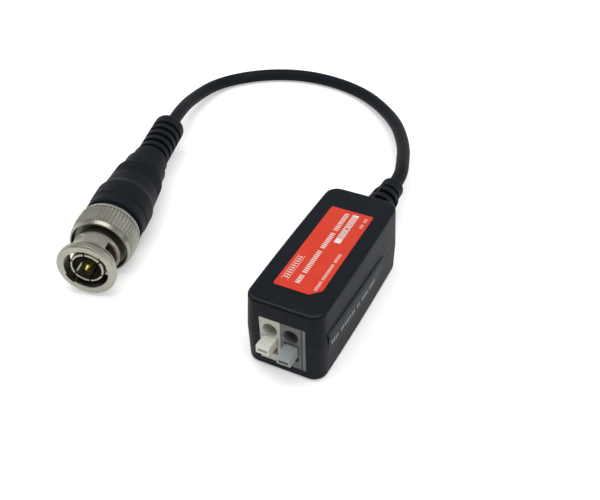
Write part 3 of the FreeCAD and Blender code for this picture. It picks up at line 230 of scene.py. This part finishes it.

# The rounding of the lid's front edge: a painted highlight, with painted shade under it.
front_facing = add(tree, "ShaderNodeMath", {0: forward, 1: forward_from}, operation="LESS_THAN")
front_edge = add(tree, "ShaderNodeMath", {0: front_facing.outputs["Value"],
                                          1: on_lid.outputs["Value"]}, operation="MULTIPLY")
brow = ramp(tree, upward, [(0.7, grey(0.0)), (0.82, grey(1.0)), (0.95, grey(1.0)),
                           (0.985, grey(0.0))])
front_highlight_mask = add(tree, "ShaderNodeMath", {0: brow, 1: front_edge.outputs["Value"]},
             operation="MULTIPLY")
with_front_highlight = add(tree, "ShaderNodeMixRGB", {"Fac": front_highlight_mask.outputs["Value"],
                                          "Color1": with_ledge_light.outputs["Color"],
                                          "Color2": linear("#2e3133")})
painted_shade_under_brow = ramp(tree, upward, [(0.03, grey(1.0)), (0.12, grey(0.35)), (0.6, grey(0.35)),
                                 (0.75, grey(1.0))])
lid_colour = add(tree, "ShaderNodeMixRGB", {"Fac": front_edge.outputs["Value"],
                                            "Color1": with_front_highlight.outputs["Color"],
                                            "Color2": painted_shade_under_brow}, blend_type="MULTIPLY")
tree.links.new(lid_colour.outputs["Color"], shader.inputs["Base Color"])

fine = add(tree, "ShaderNodeTexNoise", {"Vector": place, "Scale": 1 / (0.3 * MM), "Detail": 3.0,
                                        "Roughness": 0.65})
sheen = ramp(tree, cloud.outputs["Fac"], [(0.2, grey(0.42)), (0.8, grey(0.52))])
tree.links.new(sheen, shader.inputs["Roughness"])
rounded = add(tree, "ShaderNodeBevel", {"Radius": 0.12 * MM}, samples=4)
skin = add(tree, "ShaderNodeBump", {"Height": fine.outputs["Fac"], "Strength": 0.35,
                                    "Distance": 0.04 * MM, "Normal": rounded.outputs["Normal"]})
tree.links.new(skin.outputs["Normal"], shader.inputs["Normal"])
shader.inputs["Specular IOR Level"].default_value = 0.11
dress(moulded_abs, "upper_shell", "lower_shell")

# Top label.
# A die-cut vinyl film in orange-red, stuck on the lid, with one corner cut
# off, and plain white bars and strokes printed on it in raised ink.

# Vinyl film, printed in one colour: an even orange-red with a soft sheen.
label_film, tree, shader, place = new_material("printed_vinyl_film")
cloud = add(tree, "ShaderNodeTexNoise", {"Vector": place, "Scale": 1 / (6 * MM), "Detail": 3.0})
tint = ramp(tree, cloud.outputs["Fac"], [(0.3, linear("#d1361e")), (0.7, linear("#d73b21"))])
tree.links.new(tint, shader.inputs["Base Color"])
sheen = ramp(tree, cloud.outputs["Fac"], [(0.2, grey(0.42)), (0.8, grey(0.5))])
tree.links.new(sheen, shader.inputs["Roughness"])
shader.inputs["Specular IOR Level"].default_value = 0.3
dress(label_film, "top_label")

# Screen ink: opaque, slightly uneven, and duller than the film under it.
white_ink, tree, shader, place = new_material("white_screen_ink")
speckle = add(tree, "ShaderNodeTexNoise", {"Vector": place, "Scale": 1 / (0.5 * MM), "Detail": 2.0})
tint = ramp(tree, speckle.outputs["Fac"], [(0.3, linear("#dcd6cd")), (0.6, linear("#e8e4de"))])
tree.links.new(tint, shader.inputs["Base Color"])
shader.inputs["Roughness"].default_value = 0.5

ink_thickness = 0.02 * MM
label_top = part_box("top_label")[1].z
bar_left = 0.92
bar_right = 2.38
bar_corner = 0.08
bar_blocks = [(1.85, 3.5), (11.7, 12.45)]
rail_wide = 0.22
rail_corner = 0.02
rail_front = 3.4
rail_rear = 11.8
rule_lefts = [-4.0, -2.58]
rule_wide = 0.08
rule_front = -13.1
rule_rear = -4.8
open_rows = [(3.8, 6.9), (7.5, 11.4)]
title_rows = [(-13.1, -10.6), (-9.7, -2.1), (-1.0, 4.6), (5.7, 12.2)]
small_rows = [(-13.7, -10.8), (-10.2, -5.0), (-4.2, -1.4)]
mark_rows = [(8.7, 9.9), (10.9, 12.1)]
corner_share = 0.3
upright_from = 0.0001 * MM


def finished(name, bm, material, body):
    """Turns a bmesh into a piece of the object."""
    bmesh.ops.recalc_face_normals(bm, faces=bm.faces)
    mesh = bpy.data.meshes.new(name)
    bm.to_mesh(mesh)
    bm.free()
    mesh.materials.append(material)
    made = bpy.data.objects.new(name, mesh)
    scene.collection.objects.link(made)
    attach(made, body)
    return made


def printed_bar(bm, left, right, front, rear, corner):
    """A flat bar of ink with rounded corners, in millimetres, on the label."""
    size = Matrix.Diagonal(((right - left) * MM, (rear - front) * MM, ink_thickness, 1.0))
    centre = Vector(((left + right) / 2 * MM, (front + rear) / 2 * MM,
                     label_top + ink_thickness / 2))
    bar = bmesh.ops.create_cube(bm, size=1.0, matrix=Matrix.Translation(centre) @ size)
    edges = {edge for vert in bar["verts"] for edge in vert.link_edges}
    corners = [edge for edge in edges
               if abs(edge.verts[0].co.z - edge.verts[1].co.z) > upright_from]
    bmesh.ops.bevel(bm, geom=corners, offset=corner * MM, affect="EDGES", segments=3,
                    profile=0.5, material=-1)


def printed_row(bm, top, base, front, rear, pitch, stroke):
    """A row of plain upright strokes along the label."""
    count = round((rear - front - stroke) / pitch)
    step = (rear - front - stroke) / count
    for i in range(count + 1):
        start = front + i * step
        printed_bar(bm, top, base, start, start + stroke, stroke * corner_share)


bm = bmesh.new()
for front, rear in bar_blocks:
    printed_bar(bm, bar_left, bar_right, front, rear, bar_corner)
for left in (bar_left, bar_right - rail_wide):
    printed_bar(bm, left, left + rail_wide, rail_front, rail_rear, rail_corner)
for front, rear in open_rows:
    printed_row(bm, top=1.0, base=2.3, front=front, rear=rear, pitch=0.62, stroke=0.3)
for front, rear in title_rows:
    printed_row(bm, top=-0.95, base=0.15, front=front, rear=rear, pitch=0.62, stroke=0.3)
for front, rear in small_rows:
    printed_row(bm, top=3.62, base=4.32, front=front, rear=rear, pitch=0.4, stroke=0.15)
for front, rear in mark_rows:
    printed_row(bm, top=3.9, base=4.6, front=front, rear=rear, pitch=0.42, stroke=0.16)
for left in rule_lefts:
    printed_bar(bm, left, left + rule_wide, rule_front, rule_rear, rail_corner)
printed_row(bm, top=-3.7, base=-2.8, front=-12.5, rear=-5.4, pitch=0.75, stroke=0.26)
finished("label_print", bm, white_ink, "box_and_lead")

# Side print.
# A row of plain grey-white strokes, pad-printed along the right grip pad,
# which follows the seam's slope just under it.

# Pad-printing ink: a thin grey-white coat that lets the black show in specks.
grey_ink, tree, shader, place = new_material("grey_pad_print_ink")
speckle = add(tree, "ShaderNodeTexNoise", {"Vector": place, "Scale": 1 / (0.5 * MM), "Detail": 2.0})
tint = ramp(tree, speckle.outputs["Fac"], [(0.35, linear("#8b8e8f")), (0.65, linear("#b4b7b7"))])
tree.links.new(tint, shader.inputs["Base Color"])
shader.inputs["Roughness"].default_value = 0.6

stroke_tall = 1.3
stroke_wide = 0.34
stroke_lean = math.radians(12)
stroke_pitch = 0.86
mark_rise = -0.6
marks = [(-16.8, -13.6), (-12.4, -11.4), (-10.6, -8.0), (-7.0, -5.4), (-4.4, -2.8), (-1.8, 1.6),
         (2.4, 5.2)]
box_front = -21.5
beside_box = 30.0
seam_front_height = 9.6
seam_drop_per_mm = 2.0 / 43.0


def seam_height(y):
    """The seam's height above the floor for a place along the box, in millimetres."""
    return seam_front_height - seam_drop_per_mm * (y - box_front)


def pad_surface(y, z):
    """Place and outward direction of the right pad's face."""
    start = Vector((beside_box, y, z)) * MM
    return nodes["lower_shell"].ray_cast(start, Vector((-1, 0, 0)))[1:3]


bm = bmesh.new()
for first, last in marks:
    y = first
    while y < last:
        spot, outward = pad_surface(y, seam_height(y) + mark_rise)
        along = Vector((0.0, 0.0, 1.0)).cross(outward).normalized()
        up = outward.cross(along)
        tilt = Matrix.Rotation(stroke_lean, 3, outward)
        turned = (Matrix((tilt @ along, tilt @ up, outward)).transposed()).to_4x4()
        size = Matrix.Diagonal((stroke_wide * MM, stroke_tall * MM, ink_thickness, 1.0))
        bmesh.ops.create_cube(bm, size=1.0,
                              matrix=Matrix.Translation(spot + outward * ink_thickness / 2)
                              @ turned @ size)
        y += stroke_pitch
finished("side_print", bm, grey_ink, "box_and_lead")

# Terminal block.
# Two poles and an end plate in nylon, the left one pale and the right one
# grey, with a funnel for the wire over a push lever.


def moulded_nylon(name, darker, lighter):
    """Injection-moulded nylon: waxy and even, with a fine grain and softened edges."""
    made, tree, shader, place = new_material(name)
    cloud = add(tree, "ShaderNodeTexNoise", {"Vector": place, "Scale": 1 / (3 * MM), "Detail": 4.0})
    tint = ramp(tree, cloud.outputs["Fac"], [(0.3, linear(darker)), (0.7, linear(lighter))])
    tree.links.new(tint, shader.inputs["Base Color"])
    rounded = add(tree, "ShaderNodeBevel", {"Radius": 0.12 * MM}, samples=4)
    grain = add(tree, "ShaderNodeTexNoise", {"Vector": place, "Scale": 1 / (0.3 * MM), "Detail": 2.0})
    skin = add(tree, "ShaderNodeBump", {"Height": grain.outputs["Fac"], "Strength": 0.15,
                                        "Distance": 0.03 * MM, "Normal": rounded.outputs["Normal"]})
    tree.links.new(skin.outputs["Normal"], shader.inputs["Normal"])
    shader.inputs["Roughness"].default_value = 0.45
    return made


dress(moulded_nylon("moulded_nylon_pale", "#aeada2", "#b9b8ae"), "pole_body_left")
dress(moulded_nylon("moulded_nylon_grey", "#565957", "#5f6260"), "pole_body_right")
dress(moulded_nylon("moulded_nylon_light_grey", "#636664", "#6d706e"), "terminal_end_plate")

# Levers.
# Small push tongues in glossier acetal, one white and one blue-grey, each
# moulded in one piece with its axles.

# Moulded acetal: smoother and glossier than the nylon round it.
white_acetal, tree, shader, place = new_material("moulded_acetal_white")
cloud = add(tree, "ShaderNodeTexNoise", {"Vector": place, "Scale": 1 / (2 * MM), "Detail": 3.0})
tint = ramp(tree, cloud.outputs["Fac"], [(0.3, linear("#cfcec4")), (0.7, linear("#d9d8d0"))])
tree.links.new(tint, shader.inputs["Base Color"])
rounded = add(tree, "ShaderNodeBevel", {"Radius": 0.15 * MM}, samples=4)
tree.links.new(rounded.outputs["Normal"], shader.inputs["Normal"])
shader.inputs["Roughness"].default_value = 0.35
dress(white_acetal, "lever_left")

# The same acetal with a blue-grey pigment, a little glossier still.
grey_acetal, tree, shader, place = new_material("moulded_acetal_blue_grey")
cloud = add(tree, "ShaderNodeTexNoise", {"Vector": place, "Scale": 1 / (2 * MM), "Detail": 3.0})
tint = ramp(tree, cloud.outputs["Fac"], [(0.3, linear("#8b9291")), (0.7, linear("#939a99"))])
tree.links.new(tint, shader.inputs["Base Color"])
rounded = add(tree, "ShaderNodeBevel", {"Radius": 0.15 * MM}, samples=4)
tree.links.new(rounded.outputs["Normal"], shader.inputs["Normal"])
shader.inputs["Roughness"].default_value = 0.3
dress(grey_acetal, "lever_right")

# Contacts and clamp springs.
# Tin-plated brass bars with solder pins, and bright steel leaf springs that
# press the wire on them and give under the levers.

# Tin-plated brass: a soft grey-white metal with cloudy patches.
tin_plate, tree, shader, place = new_material("tin_plated_brass")
cloud = add(tree, "ShaderNodeTexNoise", {"Vector": place, "Scale": 1 / (0.8 * MM), "Detail": 4.0})
sheen = ramp(tree, cloud.outputs["Fac"], [(0.2, grey(0.3)), (0.8, grey(0.5))])
tree.links.new(sheen, shader.inputs["Roughness"])
shader.inputs["Base Color"].default_value = linear("#c9c7c0")
shader.inputs["Metallic"].default_value = 1.0
dress(tin_plate, "contact_bar_left", "contact_bar_right", "cable_braid_tail")

# Rolled spring steel: bright, with an uneven polish from the rolls.
spring_steel, tree, shader, place = new_material("rolled_spring_steel")
cloud = add(tree, "ShaderNodeTexNoise", {"Vector": place, "Scale": 1 / (0.6 * MM), "Detail": 4.0})
sheen = ramp(tree, cloud.outputs["Fac"], [(0.2, grey(0.22)), (0.8, grey(0.36))])
tree.links.new(sheen, shader.inputs["Roughness"])
shader.inputs["Base Color"].default_value = linear("#b8b9bb")
shader.inputs["Metallic"].default_value = 1.0
dress(spring_steel, "retaining_ring")


def sprung(name, node):
    """A welded copy of a spring, in place of the one that stays as drawn."""
    bm = bmesh.new()
    bm.from_mesh(nodes[node].data)
    bmesh.ops.remove_doubles(bm, verts=bm.verts, dist=0.001 * MM)
    made = finished(name, bm, spring_steel, "box_and_lead")
    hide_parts(node)
    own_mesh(made)
    return made


for side, leaf_keep in (("left", 0.78), ("right", 0.88)):
    sprung("clamp_leaf_" + side, "clamp_spring_" + side)

# Board and its parts.
# A green laminate board with a wound ferrite ring, a surge tube, a resistor
# and a capacitor hanging under it, closed in by the shells.

# Laminate under green solder mask: glassy, with the weave faintly in sight.
solder_mask, tree, shader, place = new_material("solder_masked_laminate")
weave = add(tree, "ShaderNodeTexNoise", {"Vector": place, "Scale": 1 / (0.7 * MM), "Detail": 2.0})
tint = ramp(tree, weave.outputs["Fac"], [(0.3, linear("#1d5a2c")), (0.7, linear("#246a35"))])
tree.links.new(tint, shader.inputs["Base Color"])
shader.inputs["Roughness"].default_value = 0.35
dress(solder_mask, "circuit_board")

# Sintered ferrite: dull charcoal with a sandy grain.
ferrite, tree, shader, place = new_material("sintered_ferrite")
grain = add(tree, "ShaderNodeTexNoise", {"Vector": place, "Scale": 1 / (0.3 * MM), "Detail": 4.0})
tint = ramp(tree, grain.outputs["Fac"], [(0.3, linear("#2b2b2d")), (0.7, linear("#3a3a3c"))])
tree.links.new(tint, shader.inputs["Base Color"])
shader.inputs["Roughness"].default_value = 0.7
dress(ferrite, "ferrite_ring")

# Enamelled copper wire: a clear brown lacquer over metal.
enamelled_copper, tree, shader, place = new_material("enamelled_copper_wire")
cloud = add(tree, "ShaderNodeTexNoise", {"Vector": place, "Scale": 1 / (1.5 * MM), "Detail": 2.0})
tint = ramp(tree, cloud.outputs["Fac"], [(0.3, linear("#8a4520")), (0.7, linear("#a6582c"))])
tree.links.new(tint, shader.inputs["Base Color"])
shader.inputs["Metallic"].default_value = 0.8
shader.inputs["Roughness"].default_value = 0.3
dress(enamelled_copper, "winding_line_side", "winding_video_side")

# Ceramic dipped in resin: a hard ochre coat with a low gloss.
glazed_ceramic, tree, shader, place = new_material("dipped_ceramic")
cloud = add(tree, "ShaderNodeTexNoise", {"Vector": place, "Scale": 1 / (1.2 * MM), "Detail": 3.0})
tint = ramp(tree, cloud.outputs["Fac"], [(0.3, linear("#b98a4e")), (0.7, linear("#c99a5c"))])
tree.links.new(tint, shader.inputs["Base Color"])
shader.inputs["Roughness"].default_value = 0.4
dress(glazed_ceramic, "surge_tube", "resistor", "capacitor")

# Natural polyethylene, extruded: milky and waxy.
clear_polyethylene, tree, shader, place = new_material("natural_polyethylene")
cloud = add(tree, "ShaderNodeTexNoise", {"Vector": place, "Scale": 1 / (1.0 * MM), "Detail": 2.0})
tint = ramp(tree, cloud.outputs["Fac"], [(0.3, linear("#d4d3cc")), (0.7, linear("#e2e1dc"))])
tree.links.new(tint, shader.inputs["Base Color"])
shader.inputs["Roughness"].default_value = 0.4
dress(clear_polyethylene, "cable_core_tail")

# Moulded boots.
# Soft black vinyl strain reliefs, moulded straight on the lead: one clips in
# the box's rear wall, the other is the plug's grip.

# Soft PVC, moulded: nearly black and matt, with a faint cloud from the mould,
# and a grain drawn at 0.32 mm because the real one is too fine to show.
boot_vinyl, tree, shader, place = new_material("moulded_soft_pvc")
cloud = add(tree, "ShaderNodeTexNoise", {"Vector": place, "Scale": 1 / (5 * MM), "Detail": 5.0})
tint = ramp(tree, cloud.outputs["Fac"], [(0.3, linear("#0e1319")), (0.7, linear("#13181f"))])
tree.links.new(tint, shader.inputs["Base Color"])
sheen = ramp(tree, cloud.outputs["Fac"], [(0.25, grey(0.48)), (0.75, grey(0.6))])
tree.links.new(sheen, shader.inputs["Roughness"])
rounded = add(tree, "ShaderNodeBevel", {"Radius": 0.08 * MM}, samples=4)
grain = add(tree, "ShaderNodeTexNoise", {"Vector": place, "Scale": 1 / (0.32 * MM), "Detail": 3.0})
skin = add(tree, "ShaderNodeBump", {"Height": grain.outputs["Fac"], "Strength": 0.2,
                                    "Distance": 0.04 * MM, "Normal": rounded.outputs["Normal"]})
tree.links.new(skin.outputs["Normal"], shader.inputs["Normal"])
shader.inputs["Specular IOR Level"].default_value = 0.12
dress(boot_vinyl, "box_boot", "plug_boot")

# Coupling nut and plug metal.
# Turned brass with a dull bright nickel plate: fine turning rings on the
# faces and straight knurling on the nut's band.
plug_length = 63.5 * MM
plug_end = route[-1]
plug_back = (route[-2] - plug_end).normalized()
plug_front = plug_end - plug_back * plug_length
plug_across = Vector((plug_back.y, -plug_back.x, 0.0))
plug_down = plug_back.cross(plug_across)
plug_turn = Matrix((plug_across, plug_down, plug_back)).transposed().to_euler()


def plug_place(tree, place):
    """Distance from the plug's axis, and depth behind its front, in metres."""
    local = add(tree, "ShaderNodeMapping", {"Vector": place, "Location": plug_front,
                                            "Rotation": plug_turn}, vector_type="TEXTURE")
    axes = add(tree, "ShaderNodeSeparateXYZ", {"Vector": local.outputs["Vector"]})
    flat = add(tree, "ShaderNodeCombineXYZ", {"X": axes.outputs["X"], "Y": axes.outputs["Y"]})
    out = add(tree, "ShaderNodeVectorMath", {0: flat.outputs["Vector"]}, operation="LENGTH")
    return out.outputs["Value"], axes.outputs["Z"]


# Nickel on turned brass: a warm grey, with painted shade in its hollows, and tool rings drawn at 0.25
# mm, two or three times as coarse as real ones. The painted shades give depths behind the plug's
# front, in millimetres, with how bright the plate is painted there: rim, neck, band and a painted
# shadow line round the band.
shade_reach = 40 * MM
plate_shades = [(0.0, 0.83), (2.0, 0.83), (2.6, 1.0), (7.2, 1.0), (8.0, 0.76),
                (9.25, 0.76), (9.33, 0.3), (9.5, 0.3), (9.6, 0.76)]
nickel_plate, tree, shader, place = new_material("nickel_plated_brass")
cloud = add(tree, "ShaderNodeTexNoise", {"Vector": place, "Scale": 1 / (2.5 * MM), "Detail": 5.0})
tint = ramp(tree, cloud.outputs["Fac"], [(0.3, linear("#b6b4a6")), (0.7, linear("#c5c3b5"))])
# Painted shade in the plate's hollows.
hollow = add(tree, "ShaderNodeAmbientOcclusion", {"Distance": 2.5 * MM}, samples=8)
hollow_shade_mask = ramp(tree, hollow.outputs["AO"], [(0.12, grey(1.0)), (0.62, grey(0.0))])
hollow_shaded = add(tree, "ShaderNodeMixRGB", {"Fac": hollow_shade_mask, "Color1": tint,
                                           "Color2": linear("#3b382d")})
# Painted shade by depth along the plug, with a painted shadow line round the band.
from_axis, depth = plug_place(tree, place)
along = add(tree, "ShaderNodeMath", {0: depth, 1: 1 / shade_reach}, operation="MULTIPLY")
shade = ramp(tree, along.outputs["Value"],
             [(behind * MM / shade_reach, grey(level)) for behind, level in plate_shades])
shaded = add(tree, "ShaderNodeMixRGB", {"Fac": 1.0, "Color1": hollow_shaded.outputs["Color"],
                                        "Color2": shade}, blend_type="MULTIPLY")
tree.links.new(shaded.outputs["Color"], shader.inputs["Base Color"])
round_place = add(tree, "ShaderNodeCombineXYZ", {"X": from_axis, "Y": depth})
rings = add(tree, "ShaderNodeTexNoise", {"Vector": round_place.outputs["Vector"],
                                         "Scale": 1 / (0.25 * MM), "Detail": 3.0}).outputs["Fac"]
sheen = ramp(tree, rings, [(0.3, grey(0.24)), (0.7, grey(0.36))])
tree.links.new(sheen, shader.inputs["Roughness"])
rounded = add(tree, "ShaderNodeBevel", {"Radius": 0.15 * MM}, samples=4)
skin = add(tree, "ShaderNodeBump", {"Height": rings, "Strength": 0.12, "Distance": 0.03 * MM,
                                    "Normal": rounded.outputs["Normal"]})
tree.links.new(skin.outputs["Normal"], shader.inputs["Normal"])
shader.inputs["Metallic"].default_value = 1.0
dress(nickel_plate, "coupling_nut", "plug_body", "crimp_ferrule", "thrust_washer")

# Wave spring.
# A waved steel washer that holds the nut back and flattens as the nut slides.
# With it the plug's pieces are whole.
wave_spring = sprung("wave_spring", "wave_washer")

# Plug inside.
# A gold-plated pin in a brown dielectric, with a dark red silicone gasket
# round it at the bottom of the plug.

# Gold on a turned pin: warm and nearly mirror-bright.
gold_plate, tree, shader, place = new_material("gold_plated_brass")
cloud = add(tree, "ShaderNodeTexNoise", {"Vector": place, "Scale": 1 / (0.7 * MM), "Detail": 2.0})
sheen = ramp(tree, cloud.outputs["Fac"], [(0.3, grey(0.2)), (0.7, grey(0.3))])
tree.links.new(sheen, shader.inputs["Roughness"])
shader.inputs["Base Color"].default_value = linear("#d6c06a")
shader.inputs["Metallic"].default_value = 1.0
dress(gold_plate, "centre_pin")

# Moulded dielectric: brown-black and matt.
dielectric, tree, shader, place = new_material("moulded_dielectric")
cloud = add(tree, "ShaderNodeTexNoise", {"Vector": place, "Scale": 1 / (1.5 * MM), "Detail": 3.0})
tint = ramp(tree, cloud.outputs["Fac"], [(0.3, linear("#35332a")), (0.7, linear("#403d32"))])
tree.links.new(tint, shader.inputs["Base Color"])
shader.inputs["Roughness"].default_value = 0.5
dress(dielectric, "insulator")

# Silicone rubber: dark red, between matt and satin.
gasket_silicone, tree, shader, place = new_material("silicone_rubber_red")
cloud = add(tree, "ShaderNodeTexNoise", {"Vector": place, "Scale": 1 / (0.8 * MM), "Detail": 3.0})
tint = ramp(tree, cloud.outputs["Fac"], [(0.3, linear("#33100d")), (0.7, linear("#401512"))])
tree.links.new(tint, shader.inputs["Base Color"])
shader.inputs["Roughness"].default_value = 0.55
dress(gasket_silicone, "gasket")

# Floor and light.
# A white paper sweep under a soft light tent. The tent is bright at its foot
# and dimmer overhead, where one softbox hangs; a second stands on the right.
floor_reach = 1.5
floor_mesh = bpy.data.meshes.new("floor")
bm = bmesh.new()
bmesh.ops.create_grid(bm, x_segments=1, y_segments=1, size=floor_reach)
bm.to_mesh(floor_mesh)
bm.free()
floor = bpy.data.objects.new("floor", floor_mesh)
scene.collection.objects.link(floor)
paper_lift = 0.15
paper_seen = 0.34
paper_near = 0.16
paper_far = 0.5

# White paper: matt, lifted for the camera to a pure white away from the object.
paper, tree, shader, place = new_material("white_paper")
shader.inputs["Base Color"].default_value = linear("#f4f4f4")
shader.inputs["Roughness"].default_value = 0.9
shader.inputs["Specular IOR Level"].default_value = 0.1
shader.inputs["Emission Color"].default_value = (1.0, 1.0, 1.0, 1.0)
reach = add(tree, "ShaderNodeVectorMath", {0: place}, operation="LENGTH")
swept = ramp(tree, reach.outputs["Value"], [(paper_near, grey(paper_seen)), (paper_far, grey(1.0))])
path = add(tree, "ShaderNodeLightPath")
mirrored = add(tree, "ShaderNodeMath", {0: path.outputs["Is Glossy Ray"],
                                        1: path.outputs["Is Transmission Ray"]},
               operation="MAXIMUM")
mirror_lift = add(tree, "ShaderNodeMath", {0: mirrored.outputs["Value"], 1: paper_lift},
                  operation="MULTIPLY")
lift = add(tree, "ShaderNodeMath", {0: path.outputs["Is Camera Ray"], 1: swept,
                                    2: mirror_lift.outputs["Value"]}, operation="MULTIPLY_ADD")
tree.links.new(lift.outputs["Value"], shader.inputs["Emission Strength"])
floor_mesh.materials.append(paper)

tent_foot = 1.0
tent_top = 0.42
foot_rise = 0.08
top_rise = 0.5
world = bpy.data.worlds.new("light_tent")
scene.world = world
world.use_nodes = True
tree = world.node_tree
direction = add(tree, "ShaderNodeTexCoord").outputs["Generated"]
rise = add(tree, "ShaderNodeSeparateXYZ", {"Vector": direction})
tent = ramp(tree, rise.outputs["Z"], [(foot_rise, grey(tent_foot)), (top_rise, grey(tent_top))])
path = add(tree, "ShaderNodeLightPath")
backdrop = add(tree, "ShaderNodeMixRGB", {"Fac": path.outputs["Is Camera Ray"], "Color1": tent,
                                          "Color2": grey(1.0)})
tree.links.new(backdrop.outputs["Color"], tree.nodes["Background"].inputs["Color"])
tree.nodes["Background"].inputs["Strength"].default_value = 1.0


def softbox(name, place, aim, width, height, power):
    """A rectangular lamp that faces a point."""
    lamp_data = bpy.data.lights.new(name, "AREA")
    lamp_data.shape = "RECTANGLE"
    lamp_data.size = width
    lamp_data.size_y = height
    lamp_data.energy = power
    lamp = bpy.data.objects.new(name, lamp_data)
    scene.collection.objects.link(lamp)
    turn = (Vector(place) - Vector(aim)).to_track_quat("Z", "Y")
    lamp.matrix_world = Matrix.Translation(Vector(place)) @ turn.to_matrix().to_4x4()


softbox("overhead", place=(-0.02, 0.0, 0.55), aim=(-0.03, 0.03, 0.0), width=0.5, height=0.4,
        power=1.75)
softbox("right_side", place=(0.3, -0.14, 0.35), aim=(0.0, 0.0, 0.01), width=0.12, height=0.12,
        power=0.3)

scene.view_settings.view_transform = "Standard"
